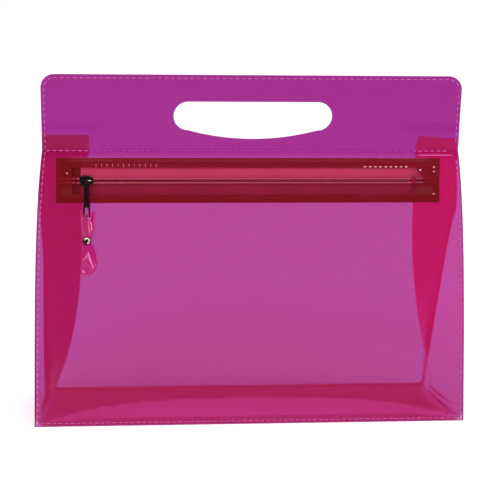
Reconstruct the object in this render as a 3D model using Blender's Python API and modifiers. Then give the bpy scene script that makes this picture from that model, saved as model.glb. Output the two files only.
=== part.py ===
"""Clear vinyl zip case with a die-cut hand slot, a folding base gusset and a coil zip.

Metres, +Z up, the front faces -Y, and the case stands on the lower edges of its two panels.
"""

import math

import bmesh
import bpy
from mathutils import Vector

# Overall size
HEIGHT = 0.218
SEAM_Z = 0.1705
BASE_DEPTH = 0.060
HALF_WIDTH_TOP = 0.1317
HALF_WIDTH_SEAM = 0.1311
HALF_WIDTH_FLARE = 0.0060
FLARE_RATE = 0.28
CORNER_R = 0.0085
BELOW_FLOOR = 0.001

# Sheets and seams
VINYL = 0.0005
GAP = 0.0003
SEAM_ALLOWANCE = 0.003
STITCH_INSET = 0.002
THREAD_R = 0.0002
BEND = 0.015
CLOSED_SPREAD = (VINYL + GAP) / 2
TAB_SPREAD = CLOSED_SPREAD + VINYL + GAP
ZIP_SPREAD = 0.0022
PILLOW = 0.0025

# Side gusset
TAB_INSET = 0.024
TAB_RISE = 0.0095
FOLD_POWER = 5.5
BASE_BULGE = 0.0095
BASE_CORNER_R = 0.004

# Hand slot
SLOT_HALF = 0.0497
SLOT_TOP = 0.2013
SLOT_END_LOW = 0.1832
SLOT_MID_LOW = 0.1778

# Zip, in its own frame: x along the zip, y inwards through the panel, z up the panel
ZIP_DROP = 0.0183
TAPE_LEFT = -0.1226
TAPE_RIGHT = 0.1195
TAPE_HALF = 0.0140
TAPE_T = 0.0005
WINDOW_LEFT = -0.1125
WINDOW_RIGHT = 0.1028
WINDOW_POINT = 0.1097
WINDOW_TOP = 0.0080
WINDOW_LOW = -0.0090
COIL_SLIT = 0.0014
COIL_W = 0.0013
COIL_T = 0.0016
COIL_LEFT = -0.1085
COIL_RIGHT = 0.1010
STOP_L = 0.0024
STOP_PROUD = 0.0002
STITCH_LEFT = -0.1155
STITCH_RIGHT = 0.1156
STITCH_OUT = 0.0015

# Slider, puller and strap
SLIDER_X = -0.1038
SLIDER_L = 0.0088
SLIDER_W = 0.0066
PLATE_T = 0.0008
POST_X = (-0.0036, -0.0018)
POST_T = 0.0008
FLANGE_X = (-0.0030, 0.0008)
FLANGE_T = 0.0004
JOINED = 0.0002
CROWN_R = 0.0005
CROWN_Y = -0.0043
CROWN_FOOT = 0.0014
CROWN_SHOULDER = 0.0011
CROWN_RISE = 0.0007
EYE_R = 0.0015
EYE_WALL = 0.0006
EYE_W = 0.0022
PULLER_L = 0.0231
PULLER_TOP_W = 0.0030
PULLER_END_W = 0.0047
PULLER_T = 0.0010
PULLER_NECK = 0.0011
PULLER_BAR = 0.0010
PULLER_SLOT = (0.0022, 0.0055)
STRAP_Y = -0.0026
STRAP_L = 0.0362
STRAP_END = 0.0050
RIVET_DROP = 0.0147
RIVET_R = 0.00265
RIVET_STEM = 0.0010
# Widths of the strap at distances below the puller's bar
STRAP_WIDTHS = (
    (0.0, 0.0015), (0.0004, 0.0015), (0.0035, 0.0086), (0.0075, 0.0082), (RIVET_DROP, 0.0058),
    (STRAP_L - 2 * STRAP_END, 0.0098), (STRAP_L - STRAP_END, 0.0100),
)
# Half depths of the cutters through one sheet and through the whole case
SHEET_CUT = 0.002
CASE_CUT = 0.020


# ---------------------------------------------------------------- scene helpers

def clear_scene():
    for old in list(bpy.data.objects):
        bpy.data.objects.remove(old, do_unlink=True)


def collection(name):
    group = bpy.data.collections.new(name)
    bpy.context.scene.collection.children.link(group)
    return group


def material(name, colour, roughness, metallic=0.0, alpha=1.0):
    mat = bpy.data.materials.new(name)
    mat.use_nodes = True
    shader = mat.node_tree.nodes["Principled BSDF"]
    shader.inputs["Base Color"].default_value = (*colour, 1.0)
    shader.inputs["Roughness"].default_value = roughness
    shader.inputs["Metallic"].default_value = metallic
    shader.inputs["Alpha"].default_value = alpha
    mat.diffuse_color = (*colour, alpha)
    return mat


clear_scene()
PARTS = collection("clear_zip_case")
CUTTERS = collection("cutters")


def place(obj, group, mat=None, parent=None):
    group.objects.link(obj)
    obj.parent = parent
    if mat:
        obj.data.materials.append(mat)
    if group is CUTTERS:
        obj.hide_render = True
        obj.display_type = "WIRE"
    return obj


def frame(name, location, tilt=0.0, parent=None):
    """An empty that carries the pieces of one moving group, turned about X."""
    empty = bpy.data.objects.new(name, None)
    empty.location = location
    empty.rotation_euler = (tilt, 0, 0)
    return place(empty, PARTS, parent=parent)


def sheet(name, rows, columns, point, group=None, mat=None, parent=None, thickness=VINYL):
    """A thin shell: a grid whose point (i, j) is put where point(i, j) says."""
    mesh = bpy.data.meshes.new(name)
    bm = bmesh.new()
    bmesh.ops.create_grid(bm, x_segments=columns - 1, y_segments=rows - 1, size=1.0)
    for vert in bm.verts:
        i = round((vert.co.y + 1) / 2 * (rows - 1))
        j = round((vert.co.x + 1) / 2 * (columns - 1))
        vert.co = point(i, j)
    bm.to_mesh(mesh)
    bm.free()
    obj = place(bpy.data.objects.new(name, mesh), group or PARTS, mat, parent)
    shell = obj.modifiers.new("Thickness", "SOLIDIFY")
    shell.thickness = thickness
    shell.offset = 0
    shell.use_even_offset = True
    return obj


def box(name, low, high, group=None, mat=None, parent=None, bevel=0.0):
    mesh = bpy.data.meshes.new(name)
    bm = bmesh.new()
    bmesh.ops.create_cube(bm, size=1.0)
    low, high = Vector(low), Vector(high)
    for vert in bm.verts:
        vert.co = [low[k] + (vert.co[k] + 0.5) * (high[k] - low[k]) for k in range(3)]
    bm.to_mesh(mesh)
    bm.free()
    obj = place(bpy.data.objects.new(name, mesh), group or PARTS, mat, parent)
    if bevel:
        edge = obj.modifiers.new("Edge", "BEVEL")
        edge.width = bevel
        edge.segments = 2
    return obj


def outline(name, points, half_depth, group=None, mat=None, parent=None):
    """A flat outline in the XZ plane, extruded to both sides along Y, as a mesh."""
    curve = bpy.data.curves.new(name, "CURVE")
    curve.dimensions = "2D"
    curve.fill_mode = "BOTH"
    curve.extrude = half_depth
    spline = curve.splines.new("POLY")
    spline.points.add(len(points) - 1)
    for spot, (x, z) in zip(spline.points, points):
        spot.co = (x, z, 0, 1)
    spline.use_cyclic_u = True
    guide = bpy.data.objects.new(name + "_guide", curve)
    guide.rotation_euler = (math.radians(90), 0, 0)
    bpy.context.scene.collection.objects.link(guide)
    bpy.context.view_layer.update()
    mesh = bpy.data.meshes.new_from_object(guide.evaluated_get(bpy.context.evaluated_depsgraph_get()))
    mesh.transform(guide.matrix_world)
    mesh.name = name
    bpy.data.objects.remove(guide)
    bm = bmesh.new()
    bm.from_mesh(mesh)
    bmesh.ops.remove_doubles(bm, verts=bm.verts, dist=1e-6)
    bmesh.ops.recalc_face_normals(bm, faces=bm.faces)
    bm.to_mesh(mesh)
    bm.free()
    return place(bpy.data.objects.new(name, mesh), group or PARTS, mat, parent)


def rod(name, points, radius, cyclic=False, sides=0, group=None, mat=None, parent=None):
    """A wire or thread along the points, as a curve with a round section and filled ends."""
    curve = bpy.data.curves.new(name, "CURVE")
    curve.dimensions = "3D"
    curve.bevel_depth = radius
    curve.bevel_resolution = sides
    curve.use_fill_caps = not cyclic
    spline = curve.splines.new("POLY")
    spline.points.add(len(points) - 1)
    for spot, point in zip(spline.points, points):
        spot.co = (*point, 1)
    spline.use_cyclic_u = cyclic
    return place(bpy.data.objects.new(name, curve), group or PARTS, mat, parent)


def turned(name, profile, group=None, mat=None, parent=None, steps=20):
    """A solid of revolution about its own Z, from a profile that runs down its outer side."""
    mesh = bpy.data.meshes.new(name)
    mesh.from_pydata([(r, 0, z) for r, z in profile], [(k, k + 1) for k in range(len(profile) - 1)], [])
    obj = place(bpy.data.objects.new(name, mesh), group or PARTS, mat, parent)
    spin = obj.modifiers.new("Turn", "SCREW")
    spin.steps = steps
    spin.render_steps = steps
    spin.use_merge_vertices = True
    spin.merge_threshold = 0.00001
    return obj


def cylinder(name, radius, length, axis, sides=20, parent=None):
    """A round cutter or blank whose axis is X or Y."""
    mesh = bpy.data.meshes.new(name)
    bm = bmesh.new()
    bmesh.ops.create_cone(bm, cap_ends=True, segments=sides, radius1=radius, radius2=radius, depth=length)
    bm.to_mesh(mesh)
    bm.free()
    obj = place(bpy.data.objects.new(name, mesh), CUTTERS, parent=parent)
    quarter = math.radians(90)
    obj.rotation_euler = (0, quarter, 0) if axis == "X" else (quarter, 0, 0)
    return obj


def boolean(obj, other, operation="DIFFERENCE"):
    cut = obj.modifiers.new(operation.title(), "BOOLEAN")
    cut.operation = operation
    cut.object = other
    cut.solver = "EXACT"


def smooth_step(value):
    value = min(max(value, 0.0), 1.0)
    return value * value * (3 - 2 * value)


# ---------------------------------------------------------------- shape of the case

def fall(z):
    """0 at the cross seam, 1 at the base."""
    return (SEAM_Z - z) / SEAM_Z


def half_width(z):
    """Half the panel's width, wider below the cross seam, with round top corners."""
    t = fall(z)
    if t > 0:
        return HALF_WIDTH_SEAM + HALF_WIDTH_FLARE * (1 - math.exp(-t / FLARE_RATE))
    wide = HALF_WIDTH_SEAM + (HALF_WIDTH_TOP - HALF_WIDTH_SEAM) * (z - SEAM_Z) / (HEIGHT - SEAM_Z)
    over = z - (HEIGHT - CORNER_R)
    return wide if over <= 0 else wide - CORNER_R + math.sqrt(max(CORNER_R**2 - over**2, 0))


def spread(x, z):
    """How far the panel stands off the middle plane where the two panels lie together."""
    tab = smooth_step((abs(x) - 0.086) / 0.016) * smooth_step((SEAM_Z + 2 * TAB_RISE - z) / (0.8 * TAB_RISE))
    closed = CLOSED_SPREAD + (TAB_SPREAD - CLOSED_SPREAD) * tab
    return closed + (ZIP_SPREAD - closed) * smooth_step((SEAM_Z - z) / 0.005)


def lean(z):
    """How far the panel has leaned out at this height, straight below a short bend at the seam."""
    t = max(fall(z), 0.0)
    whole = math.sqrt(1 + BEND**2) - BEND
    return BASE_DEPTH / 2 * (math.sqrt(t * t + BEND**2) - BEND) / whole


def pillow(x, z):
    """The slight swell of a panel below its zip."""
    rise = math.sin(math.pi * min(max((fall(z) - 0.22) / 0.78, 0.0), 1.0)) ** 2
    return PILLOW * rise * (1 - (x / half_width(z)) ** 2)


def stand_off(x, z):
    """Distance of a panel's middle surface from the middle plane."""
    return spread(x, z) + lean(z) + pillow(x, z)


def panel_levels():
    """Heights of the rows of a panel: close together at the bend and at the round corners.

    The lowest row is under the floor line, where the panel is trimmed flat to stand on.
    """
    low = [-BELOW_FLOOR] + [SEAM_Z * k / 11 for k in range(1, 11)]
    bend = [SEAM_Z - 0.0075, SEAM_Z - 0.005, SEAM_Z - 0.0025, SEAM_Z, SEAM_Z + 0.005]
    flap = [SEAM_Z + TAB_RISE + step for step in (0.002, 0.006, 0.012, 0.022)]
    arc = [HEIGHT - CORNER_R + CORNER_R * math.sin(math.radians(a)) for a in (0, 25, 45, 65, 80, 90)]
    return low + bend + flap + arc


def build_panel(name, side, mat):
    """One full-height panel; side is -1 at the front and 1 at the back."""
    levels = panel_levels()
    columns = 25

    def point(i, j):
        z = levels[i]
        shown = max(z, 0)
        x = (2 * j / (columns - 1) - 1) * half_width(shown)
        off = stand_off(x, shown) + (shown - z) * lean_slope()
        return (x, side * off, z)

    return sheet(name, len(levels), columns, point, mat=mat)


def lean_slope():
    return BASE_DEPTH / 2 / SEAM_Z / (math.sqrt(1 + BEND**2) - BEND)


def slot_points():
    """The hand slot: straight on top, round ends and a lower edge that bows down."""
    end_r = (SLOT_TOP - SLOT_END_LOW) / 2
    middle = SLOT_END_LOW + end_r
    inner = SLOT_HALF - end_r
    right = [(inner + end_r * math.cos(a), middle + end_r * math.sin(a))
             for a in (math.radians(90 - 20 * k) for k in range(10))]
    count = 12
    low = []
    for k in range(1, count):
        u = 1 - 2 * k / count
        low.append((inner * u, SLOT_END_LOW - (SLOT_END_LOW - SLOT_MID_LOW) * (1 - u * u)))
    left = [(-x, z) for x, z in reversed(right)]
    return right + low + left


def seam_path():
    """Stations along the gusset: seam point (x, z) and the way out of the case, left top to right top."""
    top = SEAM_Z + TAB_RISE
    side = [top, SEAM_Z + 0.004, SEAM_Z, SEAM_Z - 0.0025, SEAM_Z - 0.005, SEAM_Z - 0.012]
    side += [SEAM_Z * (1 - t) for t in (0.18, 0.32, 0.46, 0.58, 0.68, 0.77, 0.85, 0.91)]
    left = [((-half_width(z) + SEAM_ALLOWANCE, z), (-1.0, 0.0)) for z in side]
    corner = []
    low = SEAM_ALLOWANCE
    edge = half_width(0) - SEAM_ALLOWANCE
    for angle in (0, 30, 60, 90):
        a = math.radians(angle)
        out = (-math.cos(a), -math.sin(a))
        centre = (-edge + BASE_CORNER_R, low + BASE_CORNER_R)
        corner.append(((centre[0] + BASE_CORNER_R * out[0], centre[1] + BASE_CORNER_R * out[1]), out))
    inner = edge - BASE_CORNER_R
    base = [((-inner * (1 - k / 8), low), (0.0, -1.0)) for k in range(1, 8)] + [((0.0, low), (0.0, -1.0))]
    half = left + corner + base
    mirrored = [((-x, z), (-ox, oz)) for (x, z), (ox, oz) in reversed(half[:-1])]
    return half + mirrored


HALF_SECTION = (0.0, 0.14, 0.30, 0.50, 0.75, 0.95, 0.975, 1.0)


def fold_section(depth, inset, open_share):
    """Half a gusset section as (inward, depth) points from the seam to the fold's nose."""
    nose = min(0.0004 + 0.05 * max(depth - 0.0004, 0.0), depth)
    start_in = 0.0025 * (1 - open_share**4)
    start_depth = max(depth - 0.00085, nose)
    centre = inset - nose - start_in
    reach = math.hypot(centre, start_depth)
    turn = math.atan2(centre, start_depth) + math.asin(min(nose / reach, 1.0))
    straight = math.sqrt(max(reach**2 - nose**2, 0.0))
    whole = straight + nose * turn
    touch = (centre + nose * math.cos(turn), nose * math.sin(turn))
    points = []
    for share in HALF_SECTION:
        along = share * whole
        if along < straight:
            k = along / straight
            spot = (k * touch[0], start_depth + k * (touch[1] - start_depth))
        else:
            a = turn - (along - straight) / nose
            spot = (centre + nose * math.cos(a), nose * math.sin(a))
        points.append((start_in + spot[0], spot[1]))
    return points


def base_rise(x, v):
    """Upward swell of the base strip; v runs from -1 at the front seam to 1 at the back."""
    along = 1 - abs(x / half_width(0)) ** 6
    crest = (1 + v) ** 0.7 * (1 - v) ** 1.6 / 1.45
    return BASE_BULGE * along * crest


def build_gusset(mat):
    """One strip, folded in at the sides and open at the base, with both edges turned out as flanges."""
    stations = seam_path()
    inward = len(HALF_SECTION)
    columns = 2 * inward + 3

    def point(i, j):
        (x, z), (ox, oz) = stations[i]
        share = min(max(fall(z), 0.0), 1.0)
        on_side = oz > -0.01
        on_base = oz < -0.99
        depth = stand_off(x, z) - VINYL - GAP
        inset = TAB_INSET * (1 - share**FOLD_POWER) if on_side else 0.0
        # Column 0 is the front flange's edge and the last column is the back flange's edge.
        side = -1 if j < columns / 2 - 0.5 else 1
        k = j if side < 0 else columns - 1 - j
        if k == 0:
            ex = x + ox * (SEAM_ALLOWANCE - GAP)
            ez = z + oz * (SEAM_ALLOWANCE - GAP)
            return (ex, side * (stand_off(ex, ez) - VINYL - GAP), ez)
        if k == 1:
            return (x, side * depth, z)
        goes_in, at_depth = fold_section(depth, max(inset, 1e-5), share)[k - 2]
        if on_base:
            goes_in = base_rise(x, side * at_depth / depth)
        return (x - ox * goes_in, side * at_depth, z - oz * goes_in)

    return sheet("gusset_strip", len(stations), columns, point, mat=mat)


# ---------------------------------------------------------------- materials

VINYL_MAT = material("vinyl_magenta", (0.62, 0.045, 0.33), 0.12, alpha=0.55)
BACK_MAT = material("vinyl_back", (0.60, 0.045, 0.32), 0.12, alpha=0.55)
GUSSET_MAT = material("vinyl_gusset", (0.55, 0.03, 0.14), 0.14, alpha=0.6)
STRAP_MAT = material("vinyl_strap", (0.60, 0.04, 0.24), 0.15, alpha=0.7)
TAPE_MAT = material("tape_red", (0.42, 0.03, 0.06), 0.85)
COIL_MAT = material("coil_red", (0.36, 0.02, 0.05), 0.40)
METAL_MAT = material("black_nickel", (0.045, 0.040, 0.042), 0.22, metallic=1.0)
THREAD_MAT = material("thread_pink", (0.60, 0.16, 0.45), 0.75)


def own(base, name):
    mat = base.copy()
    mat.name = name
    return mat


# ---------------------------------------------------------------- panels and gusset

front_panel = build_panel("front_panel", -1, own(VINYL_MAT, "front_vinyl"))
back_panel = build_panel("back_panel", 1, own(BACK_MAT, "back_vinyl"))
build_gusset(own(GUSSET_MAT, "gusset_vinyl"))

hand_slot = outline("hand_slot_cutter", slot_points(), CASE_CUT, group=CUTTERS)
floor_trim = box("floor_cutter", (-HEIGHT, -BASE_DEPTH, -CASE_CUT), (HEIGHT, BASE_DEPTH, 0.0), group=CUTTERS)
for panel in (front_panel, back_panel):
    boolean(panel, hand_slot)
    boolean(panel, floor_trim)

# The zip lies on the flat part of the front panel, so its frame leans with the panel.
zip_z = SEAM_Z - ZIP_DROP
zip_tilt = -math.atan(lean_slope())
zip_frame = frame("zip_frame", (0, -stand_off(0, zip_z), zip_z), zip_tilt)

window_points = [
    (WINDOW_LEFT, WINDOW_LOW),
    (WINDOW_RIGHT, WINDOW_LOW),
    (WINDOW_POINT, (WINDOW_TOP + WINDOW_LOW) / 2),
    (WINDOW_RIGHT, WINDOW_TOP),
    (WINDOW_LEFT, WINDOW_TOP),
]
window = outline("window_cutter", window_points, SHEET_CUT, group=CUTTERS, parent=zip_frame)
boolean(front_panel, window)


# ---------------------------------------------------------------- zip

def build_zip():
    tape_y = VINYL / 2 + GAP
    coil_y = tape_y - GAP
    slit = COIL_SLIT / 2
    stop_y = (coil_y - COIL_T, coil_y)
    for name, side in (("upper", 1), ("lower", -1)):
        tape_z = sorted((side * slit, side * TAPE_HALF))
        box(f"zip_tape_{name}", (TAPE_LEFT, tape_y, tape_z[0]), (TAPE_RIGHT, tape_y + TAPE_T, tape_z[1]),
            mat=own(TAPE_MAT, f"tape_{name}"), parent=zip_frame)
        coil_z = sorted((side * slit, side * (slit + COIL_W)))
        box(f"zip_coil_{name}", (COIL_LEFT, stop_y[0], coil_z[0]), (COIL_RIGHT, stop_y[1], coil_z[1]),
            mat=own(COIL_MAT, f"coil_{name}"), parent=zip_frame)
        stop_x = (COIL_LEFT - GAP - STOP_L, COIL_LEFT - GAP)
        box(f"zip_top_stop_{name}", (stop_x[0], stop_y[0] - STOP_PROUD, coil_z[0]),
            (stop_x[1], stop_y[1], coil_z[1]), mat=own(COIL_MAT, f"stop_{name}"), parent=zip_frame)
    tall = slit + COIL_W
    box("zip_bottom_stop", (COIL_RIGHT + GAP, stop_y[0] - STOP_PROUD, -tall),
        (COIL_RIGHT + GAP + STOP_L, stop_y[1], tall), mat=own(COIL_MAT, "stop_bottom"), parent=zip_frame)


build_zip()


# ---------------------------------------------------------------- slider

def slider_plate(name, near, far, group):
    """A slider plate: wide at its mouth on the left, narrower at its tail."""
    half_l, half_w = SLIDER_L / 2, SLIDER_W / 2
    points = [
        (-half_l, -0.6 * half_w), (-0.78 * half_l, -half_w), (0.2 * half_l, -half_w),
        (half_l, -0.72 * half_w), (half_l, 0.72 * half_w), (0.2 * half_l, half_w),
        (-0.78 * half_l, half_w), (-half_l, 0.6 * half_w),
    ]
    plate = outline(name, points, abs(far - near) / 2, group=group, parent=slider_frame)
    plate.location.y = (near + far) / 2
    return plate


TAPE_BACK = VINYL / 2 + GAP + TAPE_T
COIL_FRONT = VINYL / 2 - COIL_T
PLATE_FRONT = COIL_FRONT - GAP
slider_frame = frame("slider_frame", (SLIDER_X, 0, 0), parent=zip_frame)


def build_slider():
    metal = own(METAL_MAT, "slider_metal")
    body = slider_plate("slider_body", PLATE_FRONT - PLATE_T, PLATE_FRONT, PARTS)
    body.data.materials.append(metal)
    back = slider_plate("slider_back_plate", TAPE_BACK + GAP, TAPE_BACK + GAP + PLATE_T, CUTTERS)
    post = box("slider_post", (POST_X[0], PLATE_FRONT - JOINED, -POST_T / 2),
               (POST_X[1], TAPE_BACK + GAP + JOINED, POST_T / 2), group=CUTTERS, parent=slider_frame)
    boolean(body, post, "UNION")
    boolean(body, back, "UNION")
    for side in (-1, 1):
        edge = sorted((side * SLIDER_W / 2, side * (SLIDER_W / 2 - FLANGE_T)))
        flange = box(f"slider_flange_{'lower' if side < 0 else 'upper'}",
                     (FLANGE_X[0], PLATE_FRONT - JOINED, edge[0]), (FLANGE_X[1], VINYL / 2, edge[1]),
                     group=CUTTERS, parent=slider_frame)
        boolean(body, flange, "UNION")

    plate_face = PLATE_FRONT - PLATE_T - GAP
    foot = SLIDER_L / 2 - CROWN_FOOT
    rise = plate_face - CROWN_RISE
    arch = [(-foot, plate_face, 0), (-foot, rise, 0), (CROWN_SHOULDER - foot, CROWN_Y, 0)]
    arch += [(foot - CROWN_SHOULDER, CROWN_Y, 0), (foot, rise, 0), (foot, plate_face, 0)]
    rod("slider_crown", arch, CROWN_R, sides=2, mat=own(METAL_MAT, "crown_metal"), parent=slider_frame)


build_slider()


# ---------------------------------------------------------------- puller

puller_reach = PULLER_L - PULLER_BAR / 2
puller_tilt = math.asin((STRAP_Y - CROWN_Y) / puller_reach)
puller_pivot = frame("puller_pivot", (0, CROWN_Y, 0), puller_tilt, parent=slider_frame)


def build_puller():
    """A flat tapered tab: its curled eye runs round the crown and its lower slot takes the strap."""
    top, end = PULLER_TOP_W / 2, PULLER_END_W / 2
    low = -PULLER_L + end
    round_end = [(end * math.cos(a), low + end * math.sin(a)) for a in
                 (math.radians(-30 * k) for k in range(7))]
    points = [(-top, -PULLER_NECK), (top, -PULLER_NECK)] + round_end
    tab = outline("puller_tab", points, PULLER_T / 2, mat=own(METAL_MAT, "puller_metal"), parent=puller_pivot)
    eye = cylinder("puller_eye", EYE_R, EYE_W, "X", parent=puller_pivot)
    hole = cylinder("puller_eye_hole", EYE_R - EYE_WALL, 3 * EYE_W, "X", parent=puller_pivot)
    boolean(tab, eye, "UNION")
    boolean(tab, hole)
    slot_w, slot_l = PULLER_SLOT
    slot_low = PULLER_BAR - PULLER_L
    half = slot_w / 2
    ends = [(half * math.cos(a), slot_low + slot_l - half + half * math.sin(a))
            for a in (math.radians(30 * k) for k in range(7))]
    slot = outline("puller_slot_cutter", [(-half, slot_low), (half, slot_low)] + ends, SHEET_CUT,
                   group=CUTTERS, parent=puller_pivot)
    boolean(tab, slot)


build_puller()


# ---------------------------------------------------------------- pull strap and rivet

strap_pivot = frame("strap_pivot", (0, 0, -puller_reach), -puller_tilt, parent=puller_pivot)


def strap_width(drop):
    """Width of the strap at a distance below the bar: a neck, a loop, a waist and a round end."""
    if drop > STRAP_WIDTHS[-1][0]:
        over = min((drop - STRAP_WIDTHS[-1][0]) / STRAP_END, 0.985)
        return STRAP_WIDTHS[-1][1] * math.sqrt(1 - over * over)
    for (near, wide), (far, next_wide) in zip(STRAP_WIDTHS, STRAP_WIDTHS[1:]):
        if drop <= far:
            return wide + (next_wide - wide) * smooth_step((drop - near) / (far - near))
    return STRAP_WIDTHS[-1][1]


def strap_gap(drop):
    """Half the distance between the two layers' middle surfaces."""
    loop = PULLER_T / 2 + GAP + VINYL / 2
    rivet = GAP * 2 / 3 + VINYL / 2
    return loop + (rivet - loop) * smooth_step(drop / RIVET_DROP)


def strap_line():
    """(drop, y, z) along the strap, from the front layer's tip over the bar to the back layer's tip."""
    drops = [0.0004, 0.0012, 0.0022, 0.0035, 0.0055, 0.0075, 0.0100, 0.0123]
    round_end = STRAP_L - STRAP_END
    drops += [RIVET_DROP + (round_end - RIVET_DROP) * k / 6 for k in range(7)]
    drops += [round_end + STRAP_END * share for share in (0.40, 0.70, 0.90, 1.0)]
    radius = strap_gap(0)
    front = [(d, -strap_gap(d), -d) for d in reversed(drops)]
    over = [(0.0, -radius * math.cos(a), radius * math.sin(a))
            for a in (math.radians(30 * k) for k in range(7))]
    back = [(d, strap_gap(d), -d) for d in drops]
    return front + over + back


def build_strap():
    line = strap_line()
    columns = 5

    def point(i, j):
        drop, y, z = line[i]
        return ((j / (columns - 1) - 0.5) * strap_width(drop), y, z)

    strap = sheet("pull_strap", len(line), columns, point, mat=own(STRAP_MAT, "strap_vinyl"),
                  parent=strap_pivot)
    hole = cylinder("rivet_hole_cutter", RIVET_STEM + GAP, 3 * SHEET_CUT, "Y", sides=16, parent=strap_pivot)
    hole.location = (0, 0, -RIVET_DROP)
    boolean(strap, hole)

    face = strap_gap(RIVET_DROP) + VINYL / 2 + GAP
    cap_profile = [(0.0, face + 0.0006), (0.0008, face + 0.0006), (0.0011, face + 0.0012),
                   (0.0018, face + 0.0012), (RIVET_R, face + 0.0005), (RIVET_R, face), (0.0, face)]
    cap = turned("rivet_cap", cap_profile, mat=own(METAL_MAT, "rivet_cap_metal"), parent=strap_pivot)
    post_profile = [(0.0, face - GAP), (RIVET_STEM, face - GAP), (RIVET_STEM, -face), (RIVET_R, -face),
                    (RIVET_R, -face - 0.0004), (0.0019, -face - 0.0006), (0.0, -face - 0.0006)]
    post = turned("rivet_post", post_profile, mat=own(METAL_MAT, "rivet_post_metal"), parent=strap_pivot)
    for piece in (cap, post):
        piece.location = (0, 0, -RIVET_DROP)
        piece.rotation_euler = (math.radians(90), 0, 0)


build_strap()


# ---------------------------------------------------------------- threads

def on_face(x, z, side):
    """A thread's centre just off the outer face of a panel."""
    lift = VINYL / 2 + GAP + THREAD_R
    slope = lean_slope() if z < SEAM_Z else 0.0
    tilt = math.atan(slope)
    return (x, side * (stand_off(x, z) + lift / math.cos(tilt)), z)


def side_heights(low, high, step=0.012):
    count = max(round((high - low) / step), 1)
    return [low + (high - low) * k / count for k in range(count + 1)]


def u_run(side):
    """Down the left edge, along the bottom and up the right edge of one panel."""
    start = SEAM_Z - 0.0008
    heights = [h for h in reversed(side_heights(STITCH_INSET, start))]
    heights[1:1] = [SEAM_Z - 0.0025, SEAM_Z - 0.005, SEAM_Z - 0.0075]
    left = [on_face(-half_width(z) + STITCH_INSET, z, side) for z in heights]
    span = half_width(0) - STITCH_INSET
    bottom = [on_face(span * (k / 10 - 1), STITCH_INSET, side) for k in range(1, 20)]
    right = [(-x, y, z) for x, y, z in reversed(left)]
    return left + bottom + right


def hem_run():
    """Up the left edge of the flap, round the corners and down the right edge."""
    start = SEAM_Z + 0.0008
    r = CORNER_R - STITCH_INSET
    top = HEIGHT - STITCH_INSET
    heights = [start, SEAM_Z + 0.005, SEAM_Z + 0.010, SEAM_Z + 0.014, SEAM_Z + 0.020, SEAM_Z + 0.030]
    left = [on_face(-half_width(z) + STITCH_INSET, z, -1) for z in heights]
    corner_x = -HALF_WIDTH_TOP + STITCH_INSET + r
    for angle in range(0, 91, 18):
        a = math.radians(angle)
        left.append(on_face(corner_x - r * math.cos(a), top - r + r * math.sin(a), -1))
    middle = [on_face(corner_x * (1 - k / 6), top, -1) for k in range(1, 7)]
    half = left + middle
    return half + [(-x, y, z) for x, y, z in reversed(half[:-1])]


def window_run():
    """Round the zip window, in the zip's frame."""
    y = -(VINYL / 2 + GAP + THREAD_R)
    top, low = WINDOW_TOP + STITCH_OUT, WINDOW_LOW - STITCH_OUT
    return [(STITCH_LEFT, y, low), (STITCH_RIGHT, y, low), (STITCH_RIGHT, y, top), (STITCH_LEFT, y, top)]


def build_threads():
    rod("front_seam_thread", u_run(-1), THREAD_R, mat=own(THREAD_MAT, "thread_front"))
    rod("back_seam_thread", u_run(1), THREAD_R, mat=own(THREAD_MAT, "thread_back"))
    rod("top_hem_thread", hem_run(), THREAD_R, mat=own(THREAD_MAT, "thread_hem"))
    reach = half_width(SEAM_Z) - STITCH_INSET - 2 * THREAD_R - GAP
    across = [on_face(reach * (k / 12 - 1), SEAM_Z, -1) for k in range(25)]
    rod("cross_seam_thread", across, THREAD_R, mat=own(THREAD_MAT, "thread_cross"))
    rod("zip_window_thread", window_run(), THREAD_R, cyclic=True, mat=own(THREAD_MAT, "thread_window"),
        parent=zip_frame)


build_threads()
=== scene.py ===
"""Looks of the clear vinyl zip case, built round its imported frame.

Metres, +Z up, the front faces -Y, and the case stands on the lower edges of its two panels.
"""

import math

import bmesh
import bpy
from mathutils import Matrix, Vector, noise


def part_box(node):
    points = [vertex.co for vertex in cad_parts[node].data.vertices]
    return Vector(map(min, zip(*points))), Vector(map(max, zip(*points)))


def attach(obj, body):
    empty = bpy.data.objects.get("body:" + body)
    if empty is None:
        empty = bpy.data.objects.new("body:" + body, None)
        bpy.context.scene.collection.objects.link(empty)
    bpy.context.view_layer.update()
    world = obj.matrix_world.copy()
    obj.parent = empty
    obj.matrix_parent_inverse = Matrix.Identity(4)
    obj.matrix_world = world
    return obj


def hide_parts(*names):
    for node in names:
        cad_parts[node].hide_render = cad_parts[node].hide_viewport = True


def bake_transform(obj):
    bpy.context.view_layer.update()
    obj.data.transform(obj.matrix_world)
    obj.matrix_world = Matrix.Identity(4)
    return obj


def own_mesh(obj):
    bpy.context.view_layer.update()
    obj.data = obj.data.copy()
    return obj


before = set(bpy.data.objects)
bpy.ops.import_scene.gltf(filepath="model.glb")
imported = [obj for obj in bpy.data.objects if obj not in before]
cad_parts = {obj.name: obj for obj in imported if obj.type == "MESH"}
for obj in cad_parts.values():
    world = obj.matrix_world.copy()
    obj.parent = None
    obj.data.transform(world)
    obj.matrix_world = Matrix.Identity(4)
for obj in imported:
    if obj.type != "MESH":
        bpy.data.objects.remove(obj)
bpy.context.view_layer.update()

# ---------------------------------------------------------------- sizes, as the frame has them

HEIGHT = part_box("front_panel")[1].z
BASE_DEPTH = 0.060
SEAM_Z = 0.1705
HALF_WIDTH_TOP = 0.1317
HALF_WIDTH_SEAM = 0.1311
HALF_WIDTH_FLARE = 0.0060
FLARE_RATE = 0.28
CORNER_R = 0.0085

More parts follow.
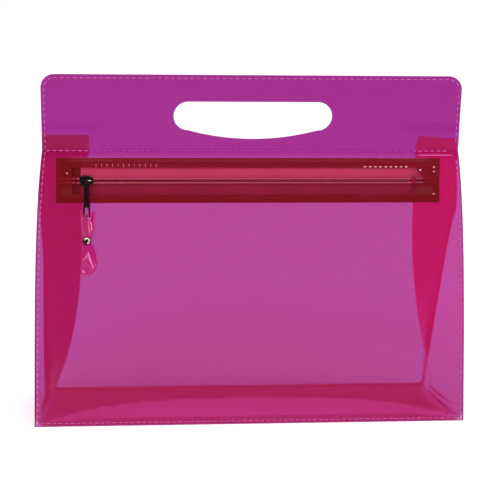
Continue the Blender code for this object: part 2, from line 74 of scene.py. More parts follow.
VINYL = 0.0005
GAP = 0.0003
SEAM_ALLOWANCE = 0.003
STITCH_INSET = 0.002
BEND = 0.015
CLOSED_SPREAD = (VINYL + GAP) / 2
TAB_SPREAD = CLOSED_SPREAD + VINYL + GAP
ZIP_SPREAD = 0.0022
PILLOW = 0.0025
RIPPLE = 0.0005

TAB_RISE = 0.0095
TAB_FROM = 0.086
TAB_FADE = 0.016
TAB_SLANT = 0.0020
BASE_BULGE = 0.0095
BASE_CORNER_R = 0.004
BASE_TOP = 1.5 * BASE_BULGE
BACK_RIM = 0.0020

SLOT_HALF = 0.0497
SLOT_TOP = 0.2013
SLOT_END_LOW = 0.1832
SLOT_MID_LOW = 0.1778

ZIP_DROP = 0.0183
TAPE_LEFT = -0.1226
TAPE_RIGHT = 0.1195
TAPE_HALF = 0.0140
TAPE_T = 0.0005
SHADED_TAPE_REACH = 0.0038
WINDOW_LEFT = -0.1125
WINDOW_RIGHT = 0.1028
WINDOW_LOW_RIGHT = 0.0945
WINDOW_POINT = 0.1097
WINDOW_TOP = 0.0080
WINDOW_LOW = -0.0090
COIL_SLIT = 0.0014
COIL_W = 0.0013
COIL_T = 0.0016
COIL_LEFT = -0.1085
COIL_RIGHT = 0.1010
STOP_L = 0.0024
STOP_SUNK = 0.0002
STOP_BEVEL = 0.00028
STITCH_LEFT = -0.1155
STITCH_RIGHT = 0.1156
STITCH_OUT = 0.0015

ZIP_DIP = 0.0012
PULL_LEFT = 0.0040
PULL_RIGHT = 0.0128
PULL_START = 0.129
TAB_WIDE = 0.0227
FOLD_LEFT = 0.0245
FOLD_RIGHT = 0.0282
FOLD_POWER_LEFT = 4.0
FOLD_POWER_RIGHT = 2.4
EDGE_SHARE = 0.9945

SLIDER_X = -0.1038
SLIDER_L = 0.0088
SLIDER_W = 0.0066
PLATE_T = 0.0008
SLIDER_VOXEL = 0.00013
CROWN_R = 0.0005
CROWN_Y = -0.0043
EYE_R = 0.0015
EYE_WALL = 0.0006
EYE_W = 0.0022
PULLER_L = 0.0231
PULLER_TOP_W = 0.0030
PULLER_END_W = 0.0047
PULLER_T = 0.0010
PULLER_SLOT = (0.0022, 0.0055)
PULLER_VOXEL = 0.00009
STRAP_Y = -0.0026
STRAP_L = 0.0362
STRAP_END = 0.0050
STRAP_LOBE = 0.0016
STRAP_FOLD = 0.0007
STRAP_BOW = (0.0009, 0.0016)
STRAP_SHOULDER = 0.0092
BACK_LAYER = 0.45
RIVET_DROP = 0.0147
RIVET_R = 0.00265
RIVET_STEM = 0.0010
RIVET_HOLE_R = 0.0013
RING_MIDDLE = 0.00155
RING_R = 0.00062

THREAD_R = 0.00021
PAINTED_GLINT_RISE = 0.00018
RIDGE_R = 0.00017
CLEAR_END = 0.028
SKIN = 0.0001


# ---------------------------------------------------------------- shape of the case

def smooth_step(value):
    value = min(max(value, 0.0), 1.0)
    return value * value * (3 - 2 * value)


def fall(z):
    """0 at the cross seam, 1 at the base."""
    return (SEAM_Z - z) / SEAM_Z


def half_width(z):
    t = fall(z)
    if t > 0:
        return HALF_WIDTH_SEAM + HALF_WIDTH_FLARE * (1 - math.exp(-t / FLARE_RATE))
    wide = HALF_WIDTH_SEAM + (HALF_WIDTH_TOP - HALF_WIDTH_SEAM) * (z - SEAM_Z) / (HEIGHT - SEAM_Z)
    over = z - (HEIGHT - CORNER_R)
    return wide if over <= 0 else wide - CORNER_R + math.sqrt(max(CORNER_R**2 - over**2, 0))


def spread(x, z):
    """How far a panel stands off the middle plane where the two panels lie together."""
    tab = smooth_step((abs(x) - TAB_FROM) / TAB_FADE)
    tab *= smooth_step((SEAM_Z + 2 * TAB_RISE - z) / (0.8 * TAB_RISE))
    closed = CLOSED_SPREAD + (TAB_SPREAD - CLOSED_SPREAD) * tab
    return closed + (ZIP_SPREAD - closed) * smooth_step((SEAM_Z - z) / 0.005)


def lean(z):
    t = max(fall(z), 0.0)
    whole = math.sqrt(1 + BEND**2) - BEND
    return BASE_DEPTH / 2 * (math.sqrt(t * t + BEND**2) - BEND) / whole


def lean_slope():
    return BASE_DEPTH / 2 / SEAM_Z / (math.sqrt(1 + BEND**2) - BEND)


def pillow(x, z):
    rise = math.sin(math.pi * min(max((fall(z) - 0.22) / 0.78, 0.0), 1.0)) ** 2
    return PILLOW * rise * (1 - (x / half_width(z)) ** 2)


def stand_off(x, z):
    """Distance of a panel's middle surface from the middle plane."""
    return spread(x, z) + lean(z) + pillow(x, z)


ZIP_Z = SEAM_Z - ZIP_DROP
ZIP_TILT = -math.atan(lean_slope())
ZIP_PLACE = Matrix.Translation((0, -stand_off(0, ZIP_Z), ZIP_Z)) @ Matrix.Rotation(ZIP_TILT, 4, "X")


def zip_dip(x, up):
    """How far the sewn rim of the zip window is pulled in, at a distance up the panel from the zip."""
    beside = smooth_step((0.0060 - abs(abs(up) - 0.0105)) / 0.0045)
    return ZIP_DIP * beside * smooth_step((x - TAPE_LEFT) / 0.010) * smooth_step((TAPE_RIGHT - x) / 0.010)


def ripple(x, z, side):
    """The film's slight waviness, none where it is sewn or pressed flat."""
    t = fall(z)
    calm = smooth_step((half_width(max(z, 0)) - abs(x)) / 0.03) * smooth_step(z / 0.03)
    calm *= smooth_step(abs(t) / 0.15)
    return RIPPLE * calm * noise.noise((x * 22, side * 3.0, z * 16))


def pulled_in(x, z, side):
    """How far the folded gusset draws a panel's edges towards the middle; only the back is drawn in."""
    if side < 0:
        return 0.0
    share = min(abs(x) / half_width(max(z, 0)), 1.0) ** 3
    if x < 0:
        return PULL_LEFT * share * smooth_step((0.150 - z) / 0.06)
    return -PULL_RIGHT * share * max(1 - z / PULL_START, 0.0) ** 0.62


def film_off(x, z, side):
    """A panel's distance from the middle plane with its dip at the zip and its waviness."""
    off = stand_off(x, z) + (ripple(x, z, side) if z < SEAM_Z else 0.0)
    if side < 0:
        off -= zip_dip(x, (z - ZIP_Z) / math.cos(ZIP_TILT))
    return off


# ---------------------------------------------------------------- outlines and mesh helpers

def flipped(points):
    """The points (x, z) of a left half as those of the right half, or the other way round."""
    return [(-x, z) for x, z in reversed(points)]


def arc(centre, radius, start, end, count):
    """Points (x, z) round an arc, angles in degrees."""
    angles = [math.radians(start + (end - start) * k / count) for k in range(count + 1)]
    return [(centre[0] + radius * math.cos(a), centre[1] + radius * math.sin(a)) for a in angles]


def add_object(name, data):
    obj = bpy.data.objects.new(name, data)
    bpy.context.scene.collection.objects.link(obj)
    return obj


def mesh_object(name, bm, *mats, smooth=True):
    mesh = bpy.data.meshes.new(name)
    bm.to_mesh(mesh)
    bm.free()
    for mat in mats:
        mesh.materials.append(mat)
    obj = add_object(name, mesh)
    if smooth:
        mesh.shade_smooth()
    return obj


def bake_modifiers(obj, sharp=None):
    """Makes the object's evaluated mesh its own mesh, with its modifiers gone."""
    bpy.context.view_layer.update()
    graph = bpy.context.evaluated_depsgraph_get()
    mesh = bpy.data.meshes.new_from_object(obj.evaluated_get(graph))
    obj.modifiers.clear()
    obj.data = mesh
    mesh.name = obj.name
    if sharp:
        mesh.shade_smooth()
        mesh.set_sharp_from_angle(angle=math.radians(sharp))
    return obj


def grid_shell(name, rows, columns, point, mats, thickness, even=True, zone=None):
    """A thin shell: a grid whose point (i, j) is put where point(i, j) says, its rim in the last material.

    zone(face) gives the number of a face's material.
    """
    bm = bmesh.new()
    bmesh.ops.create_grid(bm, x_segments=columns - 1, y_segments=rows - 1, size=1.0)
    for vert in bm.verts:
        i = round((vert.co.y + 1) / 2 * (rows - 1))
        j = round((vert.co.x + 1) / 2 * (columns - 1))
        vert.co = point(i, j)
    bm.normal_update()
    for face in bm.faces:
        face.material_index = zone(face) if zone else 0
    obj = mesh_object(name, bm, *mats)
    shell = obj.modifiers.new("Thickness", "SOLIDIFY")
    shell.thickness = thickness
    shell.offset = 0
    shell.use_even_offset = even
    shell.material_offset_rim = len(mats) - 1
    return obj


def outline_cutter(name, points, half_depth, matrix=Matrix.Identity(4)):
    """A flat outline in the XZ plane, extruded to both sides along Y."""
    bm = bmesh.new()
    near = [bm.verts.new(matrix @ Vector((x, -half_depth, z))) for x, z in points]
    face = bm.faces.new(near)
    far = bmesh.ops.extrude_face_region(bm, geom=[face])["geom"]
    shift = matrix.to_3x3() @ Vector((0, 2 * half_depth, 0))
    bmesh.ops.translate(bm, vec=shift, verts=[v for v in far if isinstance(v, bmesh.types.BMVert)])
    bmesh.ops.recalc_face_normals(bm, faces=bm.faces)
    obj = mesh_object(name, bm, smooth=False)
    obj.hide_render = True
    return obj


def cut(obj, cutter):
    step = obj.modifiers.new("Cut", "BOOLEAN")
    step.operation = "DIFFERENCE"
    step.object = cutter
    step.solver = "EXACT"


# ---------------------------------------------------------------- materials

def new_material(name):
    mat = bpy.data.materials.new(name)
    mat.use_nodes = True
    mat.node_tree.nodes.clear()
    return mat, mat.node_tree


def feed(tree, socket, value):
    """Links a socket, or a node's first output, to an input, or sets the input to a number or a colour."""
    if isinstance(value, bpy.types.Node):
        value = value.outputs[0]
    if isinstance(value, bpy.types.NodeSocket):
        tree.links.new(value, socket)
    else:
        socket.default_value = (*value, 1) if isinstance(value, tuple) else value


def node(tree, kind, *values, **named):
    """A shader node, with its inputs fed in their order, by their names, or both."""
    made = tree.nodes.new("ShaderNode" + kind)
    for socket, value in zip(made.inputs, values):
        feed(tree, socket, value)
    for key, value in named.items():
        feed(tree, made.inputs[key.replace("_", " ")], value)
    return made


def object_place(tree):
    return node(tree, "TexCoord").outputs["Object"]


def maths(tree, kind, *values):
    made = node(tree, "Math")
    made.operation = kind
    for socket, value in zip(made.inputs, values):
        feed(tree, socket, value)
    return made.outputs[0]


def mixed(tree, share, first, second):
    """A colour that goes from first to second as share goes from 0 to 1."""
    made = node(tree, "Mix")
    made.data_type = "RGBA"
    for index, value in ((0, share), (6, first), (7, second)):
        feed(tree, made.inputs[index], value)
    return made.outputs[2]


def sloped_gloss(tree, straight, grazing):
    """How much of the light a clear face reflects: a little straight on, much more at a glancing angle."""
    angle = node(tree, "LayerWeight", Blend=0.5)
    steep = maths(tree, "POWER", angle.outputs["Facing"], 5.0)
    return maths(tree, "MULTIPLY_ADD", steep, grazing - straight, straight)


def over_tape(tree, spot):
    """1 where the film lies over the zip's tapes, 0 elsewhere."""
    reach = TAPE_HALF * math.cos(ZIP_TILT)
    inside = 1.0
    for axis, kind, limit in (
        ("X", "LESS_THAN", TAPE_RIGHT), ("X", "GREATER_THAN", TAPE_LEFT),
        ("Z", "LESS_THAN", ZIP_Z + reach), ("Z", "GREATER_THAN", ZIP_Z - reach),
    ):
        inside = maths(tree, "MULTIPLY", inside, maths(tree, kind, spot.outputs[axis], limit))
    return inside


PRESSED_FROM = (SEAM_Z - 0.006, SEAM_Z - 0.001)
# Where the gusset's painted side light rises with height, grows towards the back, and its share in front.
PAINTED_LIGHT_RISES = (0.015, 0.060)
PAINTED_LIGHT_DEEPENS = (-0.002, 0.002)
PAINTED_LIGHT_IN_FRONT = 0.25


def clear_vinyl(name, through, glow, dye, pressed=None, taped=None, painted_side_light=None,
                rough=0.06, gloss=(0.008, 0.6)):
    """Thin tinted film: what shows through a face, a little scatter, a painted glow and a clear gloss.

    dye is the colour of an emission that stands in for the light the film's dye scatters: painted glow,
    not a lamp. pressed is the tint above the cross seam, where the two sheets lie pressed together.
    taped is the tint and the painted glow over the zip's tape, weaker there as painted shade, since the
    tape keeps the light off the back of the film. painted_side_light is the painted light that the glow
    rises to at the right, above the base and in the back half. It isn't an effect of the lights: it is
    painted so that the gusset looks lit from the right, as it does from the front.
    """
    mat, tree = new_material(name)
    spot = node(tree, "SeparateXYZ", object_place(tree))
    tint, light = through, dye
    if pressed:
        above = node(tree, "MapRange", spot.outputs["Z"], *PRESSED_FROM)
        tint = mixed(tree, above, through, pressed)
    if taped:
        covered = over_tape(tree, spot)
        tint = mixed(tree, covered, tint, taped[0])
        light = mixed(tree, covered, dye, taped[1])
    # Painted light: the glow rises towards the right, upwards and towards the back, as if lit from the right.
    if painted_side_light:
        right = node(tree, "MapRange", spot.outputs["X"], -half_width(0), half_width(0))
        raised = node(tree, "MapRange", spot.outputs["Z"], *PAINTED_LIGHT_RISES)
        behind = node(tree, "MapRange", spot.outputs["Y"], *PAINTED_LIGHT_DEEPENS, PAINTED_LIGHT_IN_FRONT)
        share = maths(tree, "MULTIPLY", maths(tree, "MULTIPLY", right, raised), behind)
        light = mixed(tree, share, dye, painted_side_light)
    film = node(tree, "BsdfTransparent", Color=tint)
    # An emission in the dye's colour: a painted glow, not a lamp.
    bright = node(tree, "Emission", Color=light, Strength=1.0)
    scatter = node(tree, "BsdfDiffuse", Color=glow)
    back = node(tree, "BsdfTranslucent", Color=glow)
    soft = node(tree, "MixShader", 0.5, scatter, back)
    lit = node(tree, "AddShader", node(tree, "AddShader", film, soft), bright)
    shine = node(tree, "BsdfGlossy", Color=(1, 1, 1), Roughness=rough)
    node(tree, "OutputMaterial", node(tree, "MixShader", sloped_gloss(tree, *gloss), lit, shine))
    return mat


FILM = (0.56, 0.475, 0.70)
PRESSED = (0.48, 0.36, 0.68)
GLOW = (0.05, 0.001, 0.004)
# The glow of the film's dye, sent out as an emission by the films below: painted light, not a lamp.
PAINTED_DYE_GLOW = (0.125, 0.0, 0.002)
# Over the tape: the film's tint, and a weaker painted glow as painted shade, since the tape keeps light off
# the film.
TAPED = ((0.53, 0.42, 0.58), (0.066, 0.001, 0.0))
FRONT_MAT = clear_vinyl("front_film", FILM, GLOW, PAINTED_DYE_GLOW, PRESSED, TAPED)
BACK_MAT = clear_vinyl("back_film", FILM, GLOW, PAINTED_DYE_GLOW, PRESSED)
# The gusset's glow rises at the right: painted light from that side.
GUSSET_MAT = clear_vinyl("gusset_film_painted_light", FILM, (0.09, 0.001, 0.012), (0.11, 0.0, 0.002), PRESSED,
                         painted_side_light=(0.52, 0.0, 0.034))
# The base strip's front part: a stronger glow, painted light where the base catches the light from above.
BASE_FRONT_LIGHT_MAT = clear_vinyl("base_film_front_painted_light", FILM, (0.16, 0.020, 0.06), (0.24, 0.022, 0.055))
# The base strip's back part: a darker tint, painted shade for the floor in the shadow under the case.
BASE_BACK_SHADE_MAT = clear_vinyl("base_film_back_painted_shade", (0.56, 0.30, 0.64), (0.02, 0.0, 0.0), PAINTED_DYE_GLOW,
                            gloss=(0.003, 0.02))
EDGE_MAT = clear_vinyl("vinyl_edge", (0.36, 0.20, 0.40), (0.06, 0.002, 0.02), (0.05, 0.0, 0.006),
                       rough=0.3)
BACK_EDGE_MAT = clear_vinyl("back_vinyl_edge", (0.74, 0.60, 0.82), (0.02, 0.0, 0.01), (0.03, 0.0, 0.012),
                            gloss=(0.004, 0.05))
STRAP_MAT = clear_vinyl("strap_vinyl", (0.82, 0.53, 0.76), (0.020, 0.0, 0.008), (0.066, 0.0, 0.013),
                        rough=0.07, gloss=(0.016, 0.45))
STRAP_EDGE_MAT = clear_vinyl("strap_edge", (0.50, 0.20, 0.45), (0.20, 0.02, 0.08), (0.12, 0.01, 0.05),
                             rough=0.3)


def clouded(tree, scale, detail, dark, light, start=0.0, end=1.0):
    """A colour that drifts between a dark and a light one over the surface."""
    cloud = node(tree, "TexNoise", Vector=object_place(tree), Scale=scale, Detail=detail)
    ramp = node(tree, "ValToRGB", cloud.outputs["Fac"])
    for stop, position, colour in zip(ramp.color_ramp.elements, (start, end), (dark, light)):
        stop.position = position
        stop.color = (*colour, 1)
    return ramp


def fibre(name, colour, relief, rough=0.7, sheen=0.3, shine=0.3, cloudy=0.18, crossing=0.0):
    """Dyed polyester: a woven relief, colour that varies a little and a soft sheen.

    relief is the weave's scale and depth, cloudy how far the dye varies, and crossing how much darker
    the hollows between the yarns are.
    """
    mat, tree = new_material(name)
    scale, depth = relief
    dark = [(1 - cloudy) * c for c in colour]
    light = [min((1 + 0.85 * cloudy) * c, 1) for c in colour]
    ramp = clouded(tree, scale / 6, 3.0, dark, light, 0.3, 0.7)
    waves = []
    for direction in ("X", "Z"):
        wave = node(tree, "TexWave", Vector=object_place(tree), Scale=scale, Distortion=0.6)
        wave.bands_direction = direction
        waves.append(wave.outputs["Fac"])
    weave = maths(tree, "MULTIPLY", *waves)
    hollows = maths(tree, "MULTIPLY", weave, crossing)
    dyed = mixed(tree, hollows, ramp, tuple(0.3 * c for c in colour))
    bump = node(tree, "Bump", Strength=0.6, Distance=depth, Height=weave)
    shader = node(tree, "BsdfPrincipled", Base_Color=dyed, Roughness=rough, Sheen_Weight=sheen,
                  Sheen_Roughness=0.4, Specular_IOR_Level=shine, Normal=bump)
    node(tree, "OutputMaterial", shader)
    return mat


def polished(name, colour, rough, lacquer=0.0):
    """Nickel plate with fine handling marks."""
    mat, tree = new_material(name)
    marks = node(tree, "TexNoise", Vector=object_place(tree), Scale=900.0, Detail=4.0).outputs["Fac"]
    worn = node(tree, "MapRange", Value=marks, To_Min=rough * 0.6, To_Max=rough * 1.7)
    bump = node(tree, "Bump", Strength=0.12, Distance=0.00003, Height=marks)
    shader = node(tree, "BsdfPrincipled", Base_Color=colour, Metallic=1.0, Roughness=worn,
                  Coat_Weight=lacquer, Coat_Roughness=0.06, Normal=bump)
    node(tree, "OutputMaterial", shader)
    return mat


def nylon(name, colour):
    """Nylon with colour that varies a little and no gloss."""
    mat, tree = new_material(name)
    ramp = clouded(tree, 250.0, 2.0, [0.8 * c for c in colour], [1.2 * c for c in colour])
    shader = node(tree, "BsdfPrincipled", Base_Color=ramp, Roughness=0.45, Specular_IOR_Level=0.0)
    node(tree, "OutputMaterial", shader)
    return mat


YARN = (2600.0, 0.00005)
FOLD = (900.0, 0.00002)
WEAVE = (195.0, 0.00008)
WOVEN = dict(sheen=0.03, shine=0.05, cloudy=0.05, crossing=0.35)
THREAD_MAT = fibre("thread_fibre", (0.50, 0.12, 0.40), YARN, sheen=0.15)
FAINT_THREAD_MAT = fibre("faint_thread_fibre", (0.40, 0.05, 0.27), YARN, sheen=0.1)
RED_THREAD_MAT = fibre("red_thread_fibre", (0.60, 0.09, 0.14), YARN)
WINDOW_THREAD_MAT = fibre("window_thread_fibre", (0.23, 0.009, 0.014), YARN, sheen=0.0, shine=0.05)
# Painted glints: bright fibre for the marks that stand for highlights on the film's puckers.
PAINTED_GLINT_MAT = fibre("painted_glint_fibre", (0.90, 0.36, 0.42), YARN)
DIM_PAINTED_GLINT_MAT = fibre("dim_painted_glint_fibre", (0.62, 0.10, 0.13), YARN, sheen=0.1)
# Painted highlight: a bright film colour for the tab's fold line and the strap's creases.
HIGHLIGHT_FILM_MAT = fibre("painted_highlight_film", (0.85, 0.22, 0.50), FOLD, sheen=0.1)
TAPE_UPPER_MAT = fibre("tape_weave_upper", (0.345, 0.025, 0.072), WEAVE, **WOVEN)
# The lower tape: the same weave, darker, as painted shade.
TAPE_LOWER_SHADE_MAT = fibre("tape_weave_lower_painted_shade", (0.195, 0.007, 0.027), WEAVE, **WOVEN)
# The tape's left end: darker still, painted shade where no light reaches it from behind.
TAPE_END_SHADE_MAT = fibre("tape_weave_end_painted_shade", (0.105, 0.003, 0.005), WEAVE, **WOVEN)
COIL_MAT = nylon("coil_nylon", (0.20, 0.007, 0.020))
STOP_MAT = nylon("stop_nylon", (0.17, 0.006, 0.016))
METAL_MAT = polished("black_nickel_plate", (0.008, 0.004, 0.005), 0.10, lacquer=0.15)
# The puller's recess: a dark red that is a painted reflection of the red film round it.
RECESS_REFLECTION_MAT = polished("recess_painted_reflection_plate", (0.034, 0.003, 0.007), 0.20)
# Pale nickel for a few faces turned towards the lights: a painted highlight.
HIGHLIGHT_NICKEL_MAT = polished("painted_highlight_nickel", (0.62, 0.52, 0.44), 0.22)


# ---------------------------------------------------------------- vinyl sheets

def panel_levels():
    """Heights of a panel's rows: even up to the seam, and along the arc at the round corners."""
    low = [SEAM_Z * k / 80 for k in range(81)]
    flap = [SEAM_Z + (HEIGHT - CORNER_R - SEAM_Z) * k / 22 for k in range(1, 22)]
    arc = [HEIGHT - CORNER_R + CORNER_R * math.sin(math.radians(a)) for a in range(0, 91, 6)]
    return low + flap + arc


def slot_points():
    """The hand slot: straight on top, round ends and a lower edge that bows down."""
    end_r = (SLOT_TOP - SLOT_END_LOW) / 2
    middle = SLOT_END_LOW + end_r
    inner = SLOT_HALF - end_r
    right = arc((inner, middle), end_r, 90, -90, 24)
    count = 32
    low = []
    for k in range(1, count):
        u = 1 - 2 * k / count
        low.append((inner * u, SLOT_END_LOW - (SLOT_END_LOW - SLOT_MID_LOW) * (1 - u * u)))
    return right + low + flipped(right)


SLOT_CUTTER = outline_cutter("slot_cutter", slot_points(), 0.02)


def window_points():
    """The zip window: square at the left, drawn to a leaf's point at the right."""
    middle = (WINDOW_TOP + WINDOW_LOW) / 2
    shares = [k / 12 for k in range(13)]
    low = [(WINDOW_LOW_RIGHT + (WINDOW_POINT - WINDOW_LOW_RIGHT) * u,
            WINDOW_LOW + (middle - WINDOW_LOW) * u**1.7) for u in shares]
    top = [(WINDOW_RIGHT + (WINDOW_POINT - WINDOW_RIGHT) * u,
            WINDOW_TOP + (middle - WINDOW_TOP) * u**1.5) for u in reversed(shares[:-1])]
    return [(WINDOW_LEFT, WINDOW_LOW)] + low + top + [(WINDOW_LEFT, WINDOW_TOP)]


WINDOW_CUTTER = outline_cutter("window_cutter", window_points(), 0.004, ZIP_PLACE)


def build_panel(name, node_name, side):
    levels = panel_levels()
    shares = [-1.0] + [EDGE_SHARE * (2 * k / 136 - 1) for k in range(137)] + [1.0]
    columns = len(shares)

    def point(i, j):
        z = levels[i]
        x = shares[j] * half_width(z)
        return (x + pulled_in(x, z, side), side * film_off(x, z, side), z)

    def zone(face):
        middle = face.calc_center_median()
        across = max(abs(v.co.x - pulled_in(v.co.x, v.co.z, side)) for v in face.verts)
        return 1 if middle.z < SEAM_Z and across > 0.9985 * half_width(middle.z) else 0

    mats = (FRONT_MAT, EDGE_MAT) if side < 0 else (BACK_MAT, BACK_EDGE_MAT)
    panel = grid_shell(name, len(levels), columns, point, mats, VINYL, zone=zone)
    cut(panel, SLOT_CUTTER)
    if side < 0:
        cut(panel, WINDOW_CUTTER)
    bake_modifiers(panel, sharp=50)
    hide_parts(node_name)
    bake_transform(panel)
    return panel


build_panel("front_vinyl", "front_panel", -1)
build_panel("back_vinyl", "back_panel", 1)


def seam_path():
    """Stations along the gusset: seam point (x, z) and the way out of the case, left top to right top."""
    top = SEAM_Z + TAB_RISE
    side = [top - TAB_RISE * k / 4 for k in range(4)]
    side += [SEAM_Z * (1 - k / 84) for k in range(83)]
    left = [((-half_width(z) + SEAM_ALLOWANCE, z), (-1.0, 0.0)) for z in side if z > 0.0071]
    corner = []
    low = SEAM_ALLOWANCE
    edge = half_width(0) - SEAM_ALLOWANCE
    for angle in range(0, 91, 10):
        a = math.radians(angle)
        out = (-math.cos(a), -math.sin(a))
        centre = (-edge + BASE_CORNER_R, low + BASE_CORNER_R)
        corner.append(((centre[0] + BASE_CORNER_R * out[0], centre[1] + BASE_CORNER_R * out[1]), out))
    inner = edge - BASE_CORNER_R
    base = [((-inner * (1 - k / 60), low), (0.0, -1.0)) for k in range(1, 61)]
    half = left + corner + base
    mirrored = [((-x, z), (-ox, oz)) for (x, z), (ox, oz) in reversed(half[:-1])]
    return half + mirrored


SECTION = [k / 14 for k in range(12)] + [0.83, 0.88, 0.92, 0.95, 0.965, 0.98, 0.99, 1.0]


def fold_section(depth, inset, open_share):
    """Half a gusset section as (inward, depth) points from the seam to the fold's nose."""
    nose = min(0.0004 + 0.05 * max(depth - 0.0004, 0.0), depth)
    start_in = 0.0025 * (1 - open_share**4)
    start_depth = max(depth - 0.00085, nose)
    centre = inset - nose - start_in
    reach = math.hypot(centre, start_depth)
    turn = math.atan2(centre, start_depth) + math.asin(min(nose / reach, 1.0))
    straight = math.sqrt(max(reach**2 - nose**2, 0.0))
    whole = straight + nose * turn
    touch = (centre + nose * math.cos(turn), nose * math.sin(turn))
    points = []
    for share in SECTION:
        along = share * whole
        if along < straight:
            k = along / straight
            spot = (k * touch[0], start_depth + k * (touch[1] - start_depth))
        else:
            a = turn - (along - straight) / nose
            spot = (centre + nose * math.cos(a), nose * math.sin(a))
        points.append((start_in + spot[0], spot[1]))
    return points


def fold_inset(x, z):
    """How deep the side gusset folds in; the right fold tapers sooner than the left one."""
    share = min(max(fall(z), 0.0), 1.0)
    if x < 0:
        return FOLD_LEFT * (1 - share**FOLD_POWER_LEFT) + 0.0013 * smooth_step((z - 0.13) / 0.04)
    by_seam = 0.0040 * smooth_step((z - 0.132) / 0.036) + 0.0015 * smooth_step((z - SEAM_Z) / TAB_RISE)
    return FOLD_RIGHT * (1 - share**FOLD_POWER_RIGHT) - by_seam * (1 - share)


def base_rise(x, v):
    """Upward swell of the base strip; v runs from -1 at the front seam to 1 at the back."""
    along = 1 - abs(x / half_width(0)) ** 6
    crest = (1 + v) ** 0.7 * (1 - v) ** 1.6 / 1.45
    return BASE_BULGE * along * crest


def build_gusset():
    stations = seam_path()
    columns = 2 * len(SECTION) + 3

    def point(i, j):
        (x, z), (ox, oz) = stations[i]
        share = min(max(fall(z), 0.0), 1.0)
        depth = stand_off(x, z) - VINYL - GAP
        inset = 0.0 if oz < -0.01 else fold_inset(x, z)
        side = -1 if j < columns / 2 - 0.5 else 1
        k = j if side < 0 else columns - 1 - j
        slant = TAB_SLANT * max((z - SEAM_Z) / TAB_RISE, 0.0) if x > 0 else 0.0
        if k == 0:
            ex = x + ox * (SEAM_ALLOWANCE - GAP)
            ez = z + oz * (SEAM_ALLOWANCE - GAP)
            return (ex + pulled_in(ex, ez, side), side * (stand_off(ex, ez) - VINYL - GAP), ez - slant)
        if k == 1:
            return (x + pulled_in(x, z, side), side * depth, z - slant)
        goes_in, at_depth = fold_section(depth, max(inset, 1e-5), share)[min(k - 2, len(SECTION) - 1)]
        if oz < -0.99:
            goes_in = base_rise(x, side * at_depth / depth)
        back_share = (1 + side * at_depth / depth) / 2
        return (x - ox * goes_in + back_share * pulled_in(x, z, 1), side * at_depth,
                z - oz * goes_in - slant * (1 - goes_in / TAB_WIDE))

    def zone(face):
        middle = face.calc_center_median()
        if middle.z < BASE_TOP and middle.y > stand_off(middle.x, middle.z) - BACK_RIM:
            return 3
        if middle.z > BASE_TOP or abs(face.normal.z) < 0.6:
            return 0
        # The base's front part, before the crest, takes the painted-light film; the back part the
        # painted-shade film.
        crest = 0.46 + 0.62 * abs(middle.x / half_width(0)) ** 2.2
        return 1 if middle.y < -crest * BASE_DEPTH / 2 else 2

    mats = (GUSSET_MAT, BASE_FRONT_LIGHT_MAT, BASE_BACK_SHADE_MAT, BACK_EDGE_MAT)
    gusset = grid_shell("gusset_vinyl", len(stations), columns, point, mats, VINYL, zone=zone)
    bake_modifiers(gusset, sharp=50)
    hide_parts("gusset_strip")
    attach(gusset, "gusset")
    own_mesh(gusset)
    return gusset


build_gusset()


# ---------------------------------------------------------------- finer shapes

def tube(bm, points, radius, sides=6):
    """A closed round tube along the points; radius is a number or one for each point."""
    points = [Vector(p) for p in points]
    normal = None
    rings = []
    for k, point in enumerate(points):
        ahead = points[min(k + 1, len(points) - 1)] - points[max(k - 1, 0)]
        ahead.normalize()
        if normal is None:
            normal = ahead.orthogonal()
        normal = (normal - ahead * normal.dot(ahead)).normalized()
        across = ahead.cross(normal)
        wide = radius[k] if isinstance(radius, (list, tuple)) else radius
        turn = [2 * math.pi * s / sides for s in range(sides)]
        ring = [point + wide * (normal * math.cos(a) + across * math.sin(a)) for a in turn]
        rings.append([bm.verts.new(spot) for spot in ring])
    for near, far in zip(rings, rings[1:]):
        for s in range(sides):
            bm.faces.new((near[s], near[(s + 1) % sides], far[(s + 1) % sides], far[s]))
    bm.faces.new(reversed(rings[0]))
    bm.faces.new(rings[-1])


def tube_object(name, points, radius, *mats, sides=6):
    bm = bmesh.new()
    tube(bm, points, radius, sides)
    return mesh_object(name, bm, *mats)


def pick_faces(obj, chosen):
    """Gives an object's second material to the faces that chosen picks."""
    for face in obj.data.polygons:
        face.material_index = int(chosen(face))


def turned(bm, profile, steps=48):
    """A closed solid of revolution about Y, from an (r, y) profile that starts and ends on the axis."""
    rings = []
    for r, y in profile:
        if r < 1e-9:
            rings.append([bm.verts.new((0, y, 0))])
        else:
            turn = [2 * math.pi * s / steps for s in range(steps)]
            rings.append([bm.verts.new((r * math.cos(a), y, r * math.sin(a))) for a in turn])
    for near, far in zip(rings, rings[1:]):
        for s in range(steps):
            after = (s + 1) % steps
            around = ((near, s), (near, after), (far, after), (far, s))
            corners = [ring[n % len(ring)] for ring, n in around]
            unique = [c for n, c in enumerate(corners) if c not in corners[:n]]
            bm.faces.new(unique)
    bmesh.ops.recalc_face_normals(bm, faces=bm.faces)


def bar(bm, radius, length, steps, axis):
    """A closed cylinder about the origin, turned a quarter about an axis from its upright place."""
    made = bmesh.ops.create_cone(bm, cap_ends=True, segments=steps, depth=length,
                                 radius1=radius, radius2=radius)
    bmesh.ops.rotate(bm, verts=made["verts"], matrix=Matrix.Rotation(math.radians(90), 3, axis))


def prism(bm, points, near, far):
    """A flat outline in XZ made solid from y = near to y = far."""
    low = [bm.verts.new((x, near, z)) for x, z in points]
    high = [bm.verts.new((x, far, z)) for x, z in points]
    made = [bm.faces.new(low), bm.faces.new(reversed(high))]
    for k in range(len(points)):
        after = (k + 1) % len(points)
        made.append(bm.faces.new((low[after], low[k], high[k], high[after])))
    bmesh.ops.recalc_face_normals(bm, faces=made)


